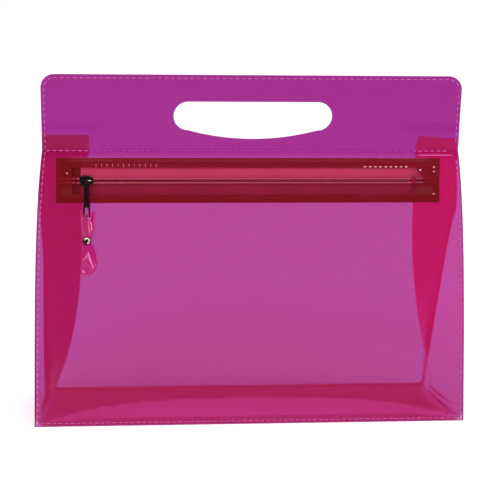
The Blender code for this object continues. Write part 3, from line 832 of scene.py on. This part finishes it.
def cast(obj, voxel, steps):
    """Fuses an object's overlapping solids into one skin with soft edges, as in a die casting."""
    skin = obj.modifiers.new("Skin", "REMESH")
    skin.mode = "VOXEL"
    skin.voxel_size = voxel
    skin.adaptivity = 0.0
    soft = obj.modifiers.new("Soft", "SMOOTH")
    soft.iterations = steps
    soft.factor = 0.5
    bake_modifiers(obj)
    obj.data.shade_smooth()
    return obj


def place(obj, matrix, body, node_name, slot):
    obj.data.transform(matrix)
    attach(obj, body)
    if node_name:
        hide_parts(node_name)
    return obj


# ---------------------------------------------------------------- stitches

def walk(points, step):
    """Points every step along a line of (place, outward normal) pairs."""
    found, travelled, due = [], 0.0, 0.0
    for (a, na), (b, nb) in zip(points, points[1:]):
        length = (b - a).length
        while due <= travelled + length and length > 0:
            k = (due - travelled) / length
            found.append((a.lerp(b, k), na.lerp(nb, k).normalized()))
            due += step
        travelled += length
    return found


def stitches(name, line, pitch, through, mat, share=0.6):
    """A lockstitch run: on each face a thread rises out of one needle hole and dips into the next.

    share is how much of the pitch shows as thread.
    """
    steps = 6
    spots = walk(line, pitch * share / steps)
    whole = round(steps / share)
    radii = [THREAD_R * (0.75 + 0.25 * math.sin(math.pi * k / steps)) for k in range(steps + 1)]
    bm = bmesh.new()
    for first in range(0, len(spots) - whole, whole):
        for face, lift in ((1, 0.0), (-1, through)):
            path = []
            for k in range(steps + 1):
                middle, normal = spots[first + k]
                arch = math.sin(math.pi * k / steps)
                high = VINYL / 2 + THREAD_R * (1.9 * min(arch * 1.6, 1.0) - 0.9) + lift
                path.append(middle + normal * face * high)
            tube(bm, path, radii)
    return mesh_object(name, bm, mat)


def painted_glints(name, line, pitch, length, radius, level, mat):
    """Short bright ridges, painted glints at the film's puckers: level ones lie along the zip, the others
    across.
    """
    bm = bmesh.new()
    for middle, normal in walk(line, pitch):
        along = Vector((1, 0, 0)) if level else normal.cross(Vector((1, 0, 0))).normalized()
        lift = normal * (VINYL / 2 + PAINTED_GLINT_RISE)
        ridge = [middle + lift + along * length / 2 * k for k in (-1, 0, 1)]
        tube(bm, ridge, [radius / 2, radius, radius / 2])
    return mesh_object(name, bm, mat)


def face_normal(x, z, side):
    step = 0.0005
    run = (film_off(x, z + step, side) - film_off(x, z - step, side)) / (2 * step)
    return Vector((0, side, -run)).normalized()


def on_film(x, z, side):
    return Vector((x + pulled_in(x, z, side), side * film_off(x, z, side), z)), face_normal(x, z, side)


def u_run(side):
    """Down the left edge, along the bottom and up the right edge of one panel."""
    start = SEAM_Z - 0.0008
    low = STITCH_INSET
    left = [(-half_width(z) + STITCH_INSET, z) for z in [start + (low - start) * k / 80 for k in range(81)]]
    span = half_width(0) - STITCH_INSET
    bottom = [(span * (k / 60 - 1), low) for k in range(1, 120)]
    return [on_film(x, z, side) for x, z in left + bottom + flipped(left)]


def hem_run():
    start = SEAM_Z + 0.0008
    r = CORNER_R - STITCH_INSET
    top = HEIGHT - STITCH_INSET
    low = [start + (top - r - start) * k / 30 for k in range(30)]
    left = [(-half_width(z) + STITCH_INSET, z) for z in low]
    corner = arc((-HALF_WIDTH_TOP + STITCH_INSET + r, top - r), r, 180, 90, 12)
    inner = HALF_WIDTH_TOP - STITCH_INSET - r
    middle = [(-inner * (1 - k / 30), top) for k in range(1, 31)]
    half = left + corner + middle
    return [on_film(x, z, -1) for x, z in half + flipped(half[:-1])]


def cross_run():
    reach = half_width(SEAM_Z) - STITCH_INSET - 0.0006
    return [on_film(reach * (k / 60 - 1), SEAM_Z, -1) for k in range(121)]


def window_run(*corners):
    """Along the corners of the stitching round the zip window, given in the zip's frame."""
    run = []
    for (xa, za), (xb, zb) in zip(corners, corners[1:]):
        count = max(round(math.hypot(xb - xa, zb - za) / 0.002), 1)
        run += [(xa + (xb - xa) * k / count, za + (zb - za) * k / count) for k in range(count)]
    turn = ZIP_PLACE.to_3x3()
    return [(ZIP_PLACE @ Vector((x, zip_dip(x, z), z)), turn @ Vector((0, -1, 0))) for x, z in run]


def build_stitches():
    """The five sewn runs, and painted highlights at the puckers and the tab's fold, where the photograph has
    highlights.
    """
    top, low = WINDOW_TOP + STITCH_OUT, WINDOW_LOW - STITCH_OUT
    round_window = window_run((STITCH_LEFT, top), (STITCH_LEFT, low), (STITCH_RIGHT, low),
                              (STITCH_RIGHT, top), (STITCH_LEFT, top))
    sewn = VINYL + GAP
    both = 2 * CLOSED_SPREAD
    taped = TAPE_T + GAP
    for name, line, pitch, through, mat, body, node_name in (
        ("front_seam_stitches", u_run(-1), 0.00375, sewn, THREAD_MAT, "front", "front_seam_thread"),
        ("back_seam_stitches", u_run(1), 0.00375, sewn, THREAD_MAT, "back", "back_seam_thread"),
        ("top_hem_stitches", hem_run(), 0.0040, both, THREAD_MAT, "gusset", "top_hem_thread"),
        ("cross_seam_stitches", cross_run(), 0.0039, both, THREAD_MAT, "gusset", "cross_seam_thread"),
        ("zip_window_stitches", round_window, 0.0026, taped, WINDOW_THREAD_MAT, "front", "zip_window_thread"),
    ):
        run = stitches(name, line, pitch, through, mat)
        if name == "cross_seam_stitches":
            run.data.materials.append(FAINT_THREAD_MAT)
            pick_faces(run, lambda face: abs(face.center.x) < HALF_WIDTH_SEAM - CLEAR_END)
        place(run, Matrix.Identity(4), body, node_name, "thread")
    rim = WINDOW_TOP + 0.0006
    right = WINDOW_RIGHT
    # Bright marks at the stitches round the window: painted glints.
    for word, start, end, pitch, length, radius, mat in (
        ("left", (SLIDER_X + 0.006, top), (-0.056, top), 0.0034, 0.0021, 0.00022, DIM_PAINTED_GLINT_MAT),
        ("right", (0.0715, rim), (right - 0.002, rim), 0.0033, 0.0017, 0.00036, PAINTED_GLINT_MAT),
        ("end", (STITCH_RIGHT, 0.0085), (STITCH_RIGHT, 0.0015), 0.0029, 0.0013, 0.00040, PAINTED_GLINT_MAT),
        ("foot", (STITCH_RIGHT, -0.0085), (STITCH_RIGHT, -0.0125), 0.0026, 0.0012, 0.00036, PAINTED_GLINT_MAT),
        ("point", (right + 0.004, 0.0066), (right + 0.0095, 0.0020), 0.0058, 0.0015, 0.00045, PAINTED_GLINT_MAT),
        ("corner", (-0.1158, 0.0046), (-0.1130, 0.0060), 0.0058, 0.0010, 0.00034, PAINTED_GLINT_MAT),
    ):
        line = window_run(start, end)
        marks = painted_glints(f"window_painted_glints_{word}", line, pitch, length, radius, word != "left", mat)
        place(marks, Matrix.Identity(4), "front", None, "thread")
    # A fine bright ridge along the right tab's fold: a painted highlight.
    count = 12
    start, end = right + 0.0018, right + 0.0250
    line = [on_film(start + (end - start) * k / count, SEAM_Z - 0.0026, -1) for k in range(count + 1)]
    radii = [RIDGE_R * math.sin(math.pi * (k + 1) / (count + 2)) ** 0.5 for k in range(count + 1)]
    ridge = tube_object("tab_fold_highlight", [p + n * (VINYL / 2 + SKIN) for p, n in line], radii, HIGHLIGHT_FILM_MAT)
    place(ridge, Matrix.Identity(4), "gusset", None, "vinyl")


# ---------------------------------------------------------------- zip

COIL_PITCH = 0.0012
COIL_WIRE = 0.00022
COIL_INNER = -0.00030
SEWING_ROWS = (0.0010, 0.00145)
SEWING_R = 0.00011
COIL_START = TAPE_LEFT + 0.0008
COIL_FINISH = TAPE_RIGHT - 0.0008


def behind_film(x):
    """How far the coils are pushed back where they run under the film, past the ends of the window."""
    left = smooth_step((WINDOW_LEFT + 0.0035 - x) / 0.0030)
    right = smooth_step((x - WINDOW_RIGHT + 0.0030) / 0.0030)
    return (COIL_T + zip_dip(x, 0) + 0.0001) * max(left, right)


def build_coil(name, side):
    """One nylon coil: its turns wound round the tape's inner edge, flattened at the front."""
    per_turn = 12
    turns = round((COIL_FINISH - COIL_START) / COIL_PITCH)
    outer = COIL_SLIT / 2 + COIL_W
    middle_z = (outer + COIL_INNER) / 2
    reach_z = (outer - COIL_INNER) / 2 - COIL_WIRE
    reach_y = COIL_T / 2 - COIL_WIRE
    middle_y = VINYL / 2 - COIL_T / 2
    offset = 0.0 if side > 0 else COIL_PITCH / 2
    path = []
    for k in range(turns * per_turn - per_turn // 2):
        a = 2 * math.pi * k / per_turn
        x = COIL_START + offset + COIL_PITCH * (k / per_turn + 0.10 * math.sin(a))
        y = middle_y + behind_film(x) + reach_y * math.cos(a)
        path.append((x, y, side * (middle_z + reach_z * math.sin(a))))
    return tube_object(name, path, COIL_WIRE, COIL_MAT)


def build_coil_sewing(name, side):
    """The two threads that hold a coil on its tape, over every turn."""
    bm = bmesh.new()
    y = VINYL / 2 - COIL_T
    count = round((COIL_FINISH - COIL_START) / COIL_PITCH) * 4 - 4
    for z in SEWING_ROWS:
        path = []
        for k in range(count):
            x = COIL_START + COIL_PITCH * (k / 4 + 0.5)
            path.append((x, y + behind_film(x) + 0.00006 + 0.00007 * math.cos(math.pi * k / 2), side * z))
        tube(bm, path, SEWING_R, 5)
    return mesh_object(name, bm, RED_THREAD_MAT)


def tape_middle(x, up):
    """The tape's middle surface: on the coil's back by the zip, behind the film past the window's rim."""
    by_coil, rim = 0.00045 + behind_film(x), 0.0085
    behind = zip_dip(x, max(up, rim)) + VINYL / 2 + TAPE_T / 2 + 0.0001
    return by_coil + (behind - by_coil) * min(max((up - 0.0022) / (rim - 0.0022), 0.0), 1.0)


def build_tape(name, side, mat):
    """One side of the woven tape: a long strip that rises to the coil like a low tent."""
    count, columns = 160, 24

    def point(i, j):
        up = 0.0001 + (TAPE_HALF - 0.0001) * j / (columns - 1)
        x = TAPE_LEFT + (TAPE_RIGHT - TAPE_LEFT) * i / (count - 1)
        wave = 0.00010 * noise.noise((x * 120, side * 5.0, up * 150))
        if j == columns - 1:
            up += 0.00008 * noise.noise((x * 900, side, 0))
        return (x, tape_middle(x, up) + wave, side * up)

    def zone(face):
        # Faces left of the slider, and the tape's rim, take the darker copy: painted shade.
        return 1 if face.calc_center_median().x < SLIDER_X - SHADED_TAPE_REACH else 0

    tape = grid_shell(name, count, columns, point, (mat, TAPE_END_SHADE_MAT), 0.0004, zone=zone)
    return bake_modifiers(tape, sharp=50)


def rounded_box(name, low, high, mat):
    bm = bmesh.new()
    bmesh.ops.create_cube(bm, size=1.0)
    low, high = Vector(low), Vector(high)
    for vert in bm.verts:
        vert.co = [low[k] + (vert.co[k] + 0.5) * (high[k] - low[k]) for k in range(3)]
    bmesh.ops.bevel(bm, geom=bm.edges[:], offset=STOP_BEVEL, segments=4, profile=0.5, affect="EDGES")
    return mesh_object(name, bm, mat)


def build_zip():
    slit = COIL_SLIT / 2
    front, back = VINYL / 2 - COIL_T + STOP_SUNK, VINYL / 2
    stop_x = (COIL_LEFT - GAP - STOP_L, COIL_LEFT - GAP)
    for word, side, mat in (("upper", 1, TAPE_UPPER_MAT), ("lower", -1, TAPE_LOWER_SHADE_MAT)):
        place(build_tape(f"tape_{word}", side, mat), ZIP_PLACE, "front", f"zip_tape_{word}", "zip_tape")
        place(build_coil(f"coil_{word}", side), ZIP_PLACE, "front", f"zip_coil_{word}", "zip_coil")
        place(build_coil_sewing(f"coil_sewing_{word}", side), ZIP_PLACE, "front", None, "zip_coil")
        across = sorted((side * slit, side * (slit + COIL_W)))
        low, high = (stop_x[0], front, across[0]), (stop_x[1], back, across[1])
        stop = rounded_box(f"top_stop_{word}", low, high, STOP_MAT)
        place(stop, ZIP_PLACE, "front", f"zip_top_stop_{word}", "zip_coil")
    tall = slit + COIL_W
    start = COIL_RIGHT + GAP
    stop = rounded_box("bottom_stop", (start, front, -tall), (start + STOP_L, back, tall), STOP_MAT)
    place(stop, ZIP_PLACE, "front", "zip_bottom_stop", "zip_coil")


# ---------------------------------------------------------------- slider, puller, strap and rivet

TAPE_BACK = VINYL / 2 + GAP + TAPE_T
PLATE_FRONT = VINYL / 2 - COIL_T - GAP
SLIDER_PLACE = ZIP_PLACE @ Matrix.Translation((SLIDER_X, 0, 0))
PULLER_REACH = PULLER_L - 0.0005
PULLER_TILT = math.asin((STRAP_Y - CROWN_Y) / PULLER_REACH)
PULLER_PLACE = SLIDER_PLACE @ Matrix.Translation((0, CROWN_Y, 0)) @ Matrix.Rotation(PULLER_TILT, 4, "X")
STRAP_PLACE = PULLER_PLACE @ Matrix.Translation((0, 0, -PULLER_REACH)) @ Matrix.Rotation(-PULLER_TILT, 4, "X")


def slider_outline(grow=0.0):
    """A slider plate: a wide rounded mouth on the left and a narrower tail."""
    half_l, half_w = SLIDER_L / 2 + grow, SLIDER_W / 2 + grow
    top = []
    for k in range(25):
        u = -1 + k / 12
        wide = (1 - abs(u) ** 3.2) ** 0.42 * (1 - 0.14 * smooth_step((u + 0.1) / 1.0))
        top.append((u * half_l, half_w * max(wide, 0.02)))
    return top + [(x, -z) for x, z in reversed(top)]


def build_slider():
    bm = bmesh.new()
    prism(bm, slider_outline(), PLATE_FRONT - PLATE_T, PLATE_FRONT)
    prism(bm, slider_outline(-0.0006), PLATE_FRONT - PLATE_T - 0.00015, PLATE_FRONT - 0.0002)
    prism(bm, slider_outline(), TAPE_BACK + GAP, TAPE_BACK + GAP + PLATE_T)
    post = [(-0.0036, -0.0004), (-0.0018, -0.0004), (-0.0018, 0.0004), (-0.0036, 0.0004)]
    prism(bm, post, PLATE_FRONT - 0.0002, TAPE_BACK + GAP + 0.0002)
    for side in (-1, 1):
        edge, inner = side * SLIDER_W / 2, side * (SLIDER_W / 2 - 0.0004)
        guard = [(-0.0030, edge), (0.0012, edge), (0.0012, inner), (-0.0030, inner)]
        prism(bm, guard, PLATE_FRONT - 0.0003, VINYL / 2)
    body = cast(mesh_object("slider", bm, METAL_MAT), SLIDER_VOXEL, 6)
    place(body, SLIDER_PLACE, "slider", "slider_body", "black_nickel")

    face = PLATE_FRONT - PLATE_T
    foot = SLIDER_L / 2 - 0.0014
    path, radii = [], []
    for k in range(25):
        a = math.pi * k / 24
        path.append((-foot * math.copysign(abs(math.cos(a)) ** 0.6, math.cos(a)),
                     face + (CROWN_Y - face) * math.sin(a) ** 0.6, 0))
        radii.append(CROWN_R * (1.15 - 0.15 * math.sin(a)))
    crown = tube_object("crown", path, radii, METAL_MAT, HIGHLIGHT_NICKEL_MAT, sides=14)
    # The crown's faces that face up and out take the pale nickel: a painted highlight.
    pick_faces(crown, lambda side: side.normal.z > 0.25 and side.normal.y < -0.25
               and side.center.x > -0.0008)
    place(crown, SLIDER_PLACE, "slider", "slider_crown", "black_nickel")


def puller_outline(inset=0.0, top=-0.0011, low_end=None):
    """The tapered tab with a round lower end."""
    wide_top, end = PULLER_TOP_W / 2 - inset, PULLER_END_W / 2 - inset
    low = -PULLER_L + PULLER_END_W / 2 if low_end is None else low_end
    return [(-wide_top, top), (wide_top, top)] + arc((0, low), end, 0, -180, 16)


def build_puller():
    bm = bmesh.new()
    prism(bm, puller_outline(), -PULLER_T / 2, PULLER_T / 2)
    bar(bm, EYE_R, EYE_W, 40, "Y")
    puller = mesh_object("puller", bm, METAL_MAT)

    slot_w, slot_l = PULLER_SLOT
    half = slot_w / 2
    low = -PULLER_L + 0.0010
    hole = arc((0, low + slot_l - half), half, 0, 180, 12) + [(-half, low + 0.0003), (half, low + 0.0003)]
    pocket = puller_outline(0.0007, -0.0032, low + slot_l + 0.0022)
    cutters = [outline_cutter("puller_slot_cutter", hole, 0.002)]
    for face in (-1, 1):
        shift = Matrix.Translation((0, face * (PULLER_T / 2 + 0.00072), 0))
        cutters.append(outline_cutter(f"puller_pocket_cutter_{face + 1}", pocket, 0.001, shift))
    bm = bmesh.new()
    bar(bm, EYE_R - EYE_WALL, 3 * EYE_W, 32, "Y")
    cutters.append(mesh_object("puller_eye_cutter", bm))
    fused = puller.modifiers.new("Skin", "REMESH")
    fused.mode = "VOXEL"
    fused.voxel_size = PULLER_VOXEL
    for cutter in cutters:
        cut(puller, cutter)
    cast(puller, PULLER_VOXEL, 4)
    for cutter in cutters:
        bpy.data.objects.remove(cutter)
    puller.data.materials.clear()
    for mat in (METAL_MAT, RECESS_REFLECTION_MAT):
        puller.data.materials.append(mat)
    # The faces in the recess take the dark red: a painted reflection.
    pick_faces(puller, lambda face: abs(face.normal.y) > 0.8 and face.center.z < -EYE_R
               and abs(face.center.y) < PULLER_T / 2 - 0.00012)
    place(puller, PULLER_PLACE, "puller", "puller_tab", "black_nickel")


STRAP_WIDTHS = (
    (0.0, 0.0018), (0.0004, 0.0020), (0.0035, 0.0090), (0.0075, 0.0086), (RIVET_DROP, 0.0056),
    (STRAP_L - 2 * STRAP_END, 0.0098), (STRAP_L - STRAP_END, 0.0100),
)


def strap_width(drop):
    """Width of the strap at a distance below the bar: a neck, a loop, a waist and a round end."""
    if drop > STRAP_WIDTHS[-1][0]:
        over = min((drop - STRAP_WIDTHS[-1][0]) / STRAP_END, 0.985)
        return STRAP_WIDTHS[-1][1] * math.sqrt(1 - over * over)
    for (near, wide), (far, next_wide) in zip(STRAP_WIDTHS, STRAP_WIDTHS[1:]):
        if drop <= far:
            return wide + (next_wide - wide) * smooth_step((drop - near) / (far - near))
    return STRAP_WIDTHS[-1][1]


def strap_gap(drop):
    loop = PULLER_T / 2 + GAP + VINYL / 2
    rivet = GAP / 2 + VINYL / 2 + 0.00005
    return loop + (rivet - loop) * smooth_step(drop / RIVET_DROP)


def crease(turns):
    """A wave of flat facets and sharp creases, from -1 to 1, one wave for each turn."""
    return 4 * abs(turns - math.floor(turns + 0.5)) - 1


def strap_bulge(drop, u, face):
    """How far a layer swells away from the other: two lobes above the rivet, a fan of folds below it."""
    s = min(abs(u), 1.0)
    share = 1.0 if face < 0 else BACK_LAYER
    if drop < RIVET_DROP:
        along = math.sin(math.pi * min(max(drop / RIVET_DROP, 0), 1)) ** 0.8
        lobe = math.sin(math.pi * 0.86 * s) ** 1.3
        return share * along * (STRAP_LOBE * lobe + 0.0003 * (1 - s * s))
    along = smooth_step((drop - RIVET_DROP - 0.0030) / 0.010)
    below = (drop - RIVET_DROP) / (STRAP_L - RIVET_DROP)
    fold = crease(0.85 * u + 0.35 * below + (0.10 if face < 0 else 0.55))
    return share * along * (0.0008 + STRAP_FOLD * fold)


def strap_set(drop):
    """How far the strap's middle lies to the right: it bows out between the bar, the rivet and its end."""
    if drop < RIVET_DROP:
        return STRAP_BOW[0] * math.sin(math.pi * drop / RIVET_DROP)
    return STRAP_BOW[1] * math.sin(math.pi * (drop - RIVET_DROP) / (STRAP_L - RIVET_DROP))


def strap_rise(x, drop):
    """How far the strap's shoulders puff up beside the bar, where the strip is pinched through the slot."""
    return STRAP_SHOULDER * (abs(x) / 0.0045) ** 1.3 * (1 - smooth_step(drop / 0.011))


def build_strap():
    """One strip of film, pinched through the slot, folded back and riveted, with painted highlights on its
    creases.
    """
    fine = 70
    drops = [0.0002 + (STRAP_L - 0.0002) * k / fine for k in range(fine + 1)]
    radius = strap_gap(0)
    line = [(d, -strap_gap(d), -d, -1) for d in reversed(drops)]
    turn = [math.pi * k / 12 for k in range(1, 12)]
    line += [(0.0, -radius * math.cos(a), radius * math.sin(a), 0) for a in turn]
    line += [(d, strap_gap(d), -d, 1) for d in drops]
    columns = 25

    def point(i, j):
        drop, y, z, face = line[i]
        u = 2 * j / (columns - 1) - 1
        x = u * strap_width(drop) / 2
        return (x + strap_set(drop), y + face * strap_bulge(drop, u, face), z + strap_rise(x, drop))

    strap = grid_shell("strap", len(line), columns, point, (STRAP_MAT, STRAP_EDGE_MAT), VINYL, even=False)
    bm = bmesh.new()
    bar(bm, RIVET_HOLE_R, 0.008, 32, "X")
    hole = mesh_object("strap_hole_cutter", bm)
    hole.location = (0, 0, -RIVET_DROP)
    cut(strap, hole)
    bake_modifiers(strap, sharp=50)
    bpy.data.objects.remove(hole)
    place(strap, STRAP_PLACE, "strap", "pull_strap", "vinyl_strap")

    # Bright marks along the strap's creases: painted highlights.
    for word, mat, radius, path in (
        ("upper", DIM_PAINTED_GLINT_MAT, 0.00050, ((0.0030, 0.0010), (0.0070, 0.0014), (0.0105, 0.0018))),
        ("lobe", HIGHLIGHT_FILM_MAT, 0.00024, ((0.0035, 0.0017), (0.0060, 0.0030), (0.0090, 0.0032))),
        ("lower", HIGHLIGHT_FILM_MAT, 0.00045, ((0.0215, 0.0008), (0.0270, 0.0022), (0.0320, 0.0042))),
        ("side", HIGHLIGHT_FILM_MAT, 0.00024, ((0.0265, -0.0028), (0.0250, -0.0005), (0.0225, 0.0004))),
        ("end", HIGHLIGHT_FILM_MAT, 0.00035, ((0.0325, -0.0030), (0.0340, -0.0022), (0.0350, -0.0008))),
    ):
        line = []
        for drop, x in path:
            u = (x - strap_set(drop)) / (strap_width(drop) / 2)
            out = strap_gap(drop) + strap_bulge(drop, u, -1) + VINYL / 2 + SKIN
            line.append(Vector((x, -out, strap_rise(x - strap_set(drop), drop) - drop)))
        mark = tube_object(f"strap_crease_highlight_{word}", line, [radius / 3, radius, radius / 2], mat)
        place(mark, STRAP_PLACE, "strap", None, "vinyl_strap")

    face = strap_gap(RIVET_DROP) + VINYL / 2 + GAP
    spot = STRAP_PLACE @ Matrix.Translation((0, 0, -RIVET_DROP))
    dish = [(0.0, -face - 0.00045), (0.0007, -face - 0.0005), (0.00095, -face - 0.0007)]
    ring = arc((RING_MIDDLE, -face - 0.0006), RING_R, 202.5, 337.5, 6)
    brim = [(0.0022, -face - 0.00062), (0.00248, -face - 0.0005), (RIVET_R, -face - 0.00025),
            (RIVET_R, -face), (0.0, -face)]
    bm = bmesh.new()
    turned(bm, dish + ring + brim)
    cap = mesh_object("rivet_cap_face", bm, METAL_MAT, HIGHLIGHT_NICKEL_MAT)
    # Part of the rivet's ring, at the upper right, takes the pale nickel: a painted highlight.
    pick_faces(cap, lambda side: 0.0011 < math.hypot(side.center.x, side.center.z) < 0.0019
               and side.center.y < -face - 0.0005 and side.center.x + side.center.z > -0.0010)
    place(cap, spot, "strap", "rivet_cap", "black_nickel")
    bm = bmesh.new()
    turned(bm, [(0.0, -face + GAP), (RIVET_STEM, -face + GAP), (RIVET_STEM, face - 0.0001),
                (RIVET_R - 0.0001, face), (RIVET_R, face + 0.0001), (RIVET_R - 0.0002, face + 0.0004),
                (0.0019, face + 0.0006), (0.0010, face + 0.0006), (0.0008, face + 0.0002),
                (0.0, face + 0.0001)])
    place(mesh_object("rivet_tail", bm, METAL_MAT), spot, "strap", "rivet_post", "black_nickel")


build_stitches()
build_zip()
build_slider()
build_puller()
build_strap()
for spare in (SLOT_CUTTER, WINDOW_CUTTER):
    bpy.data.objects.remove(spare)


def declare_sheets():
    """Works out the panels' flat width as cut; nothing uses it."""
    wide = 2 * half_width(0)


declare_sheets()


# ---------------------------------------------------------------- floor, light and camera

def build_floor():
    bm = bmesh.new()
    bmesh.ops.create_grid(bm, x_segments=1, y_segments=1, size=6.0)
    bmesh.ops.translate(bm, vec=(0, 0, -0.0002), verts=bm.verts)
    mat, tree = new_material("white_floor")
    shader = node(tree, "BsdfPrincipled", Base_Color=(0.9, 0.9, 0.9), Roughness=0.9,
                  Emission_Color=(1, 1, 1), Emission_Strength=0.1)
    node(tree, "OutputMaterial", shader)
    mesh_object("floor", bm, mat)


def area_light(name, place, target, size, power):
    lamp = bpy.data.lights.new(name, "AREA")
    lamp.shape = "RECTANGLE"
    lamp.size, lamp.size_y = size
    lamp.energy = power
    obj = add_object(name, lamp)
    obj.location = place
    obj.rotation_euler = (Vector(target) - Vector(place)).to_track_quat("-Z", "Y").to_euler()


def build_light():
    """A dim room, seen as white, a wide soft light overhead and three smaller ones round the case."""
    world = bpy.data.worlds.new("studio")
    bpy.context.scene.world = world
    world.use_nodes = True
    tree = world.node_tree
    tree.nodes.clear()
    room = node(tree, "Background", Color=(1, 1, 1), Strength=0.45)
    seen = node(tree, "Background", Color=(1, 1, 1), Strength=1.0)
    path = node(tree, "LightPath")
    node(tree, "OutputWorld", node(tree, "MixShader", path.outputs["Is Camera Ray"], room, seen))
    sun = bpy.data.lights.new("overhead", "SUN")
    sun.energy = 2.3
    sun.angle = math.radians(70)
    add_object("overhead", sun).rotation_euler = (math.radians(14), math.radians(6), 0)
    area_light("key", (-0.5, -1.0, 1.1), (0, 0, 0.1), (0.26, 0.26), 6)
    area_light("right_side", (1.1, -0.2, 0.5), (0, 0, 0.1), (0.5, 0.8), 5)
    area_light("low_left", (-1.0, -0.95, 0.15), (0, 0, 0.12), (0.25, 0.5), 4)


def build_camera():
    """The camera's place round the case, at the angle and distance it is shown from."""
    target = Vector((0, 0, 0.11))
    distance = 1.0
    azimuth, elevation, roll = -0.1003, 0.2587, 0.0212
    focal_px, image = 1567.55, 500
    centre_px = (250.51, 243.45)
    back = Vector((math.sin(azimuth) * math.cos(elevation),
                   -math.cos(azimuth) * math.cos(elevation), math.sin(elevation)))
    right = Vector((math.cos(azimuth), math.sin(azimuth), 0))
    up = back.cross(right)
    x_axis = right * math.cos(roll) + up * math.sin(roll)
    y_axis = up * math.cos(roll) - right * math.sin(roll)
    data = bpy.data.cameras.new("camera")
    data.sensor_width = 36
    data.lens = focal_px / image * data.sensor_width
    data.shift_x = (image / 2 - centre_px[0]) / image
    data.shift_y = (centre_px[1] - image / 2) / image
    data.clip_start, data.clip_end = 0.05, 30
    camera = add_object("camera", data)
    turn = Matrix((x_axis, y_axis, back)).transposed().to_4x4()
    camera.matrix_world = Matrix.Translation(target + back * distance) @ turn
    bpy.context.scene.camera = camera


build_floor()
build_light()
build_camera()

scene = bpy.context.scene
scene.view_settings.view_transform = "Standard"
scene.cycles.transparent_max_bounces = 48
scene.cycles.max_bounces = 16
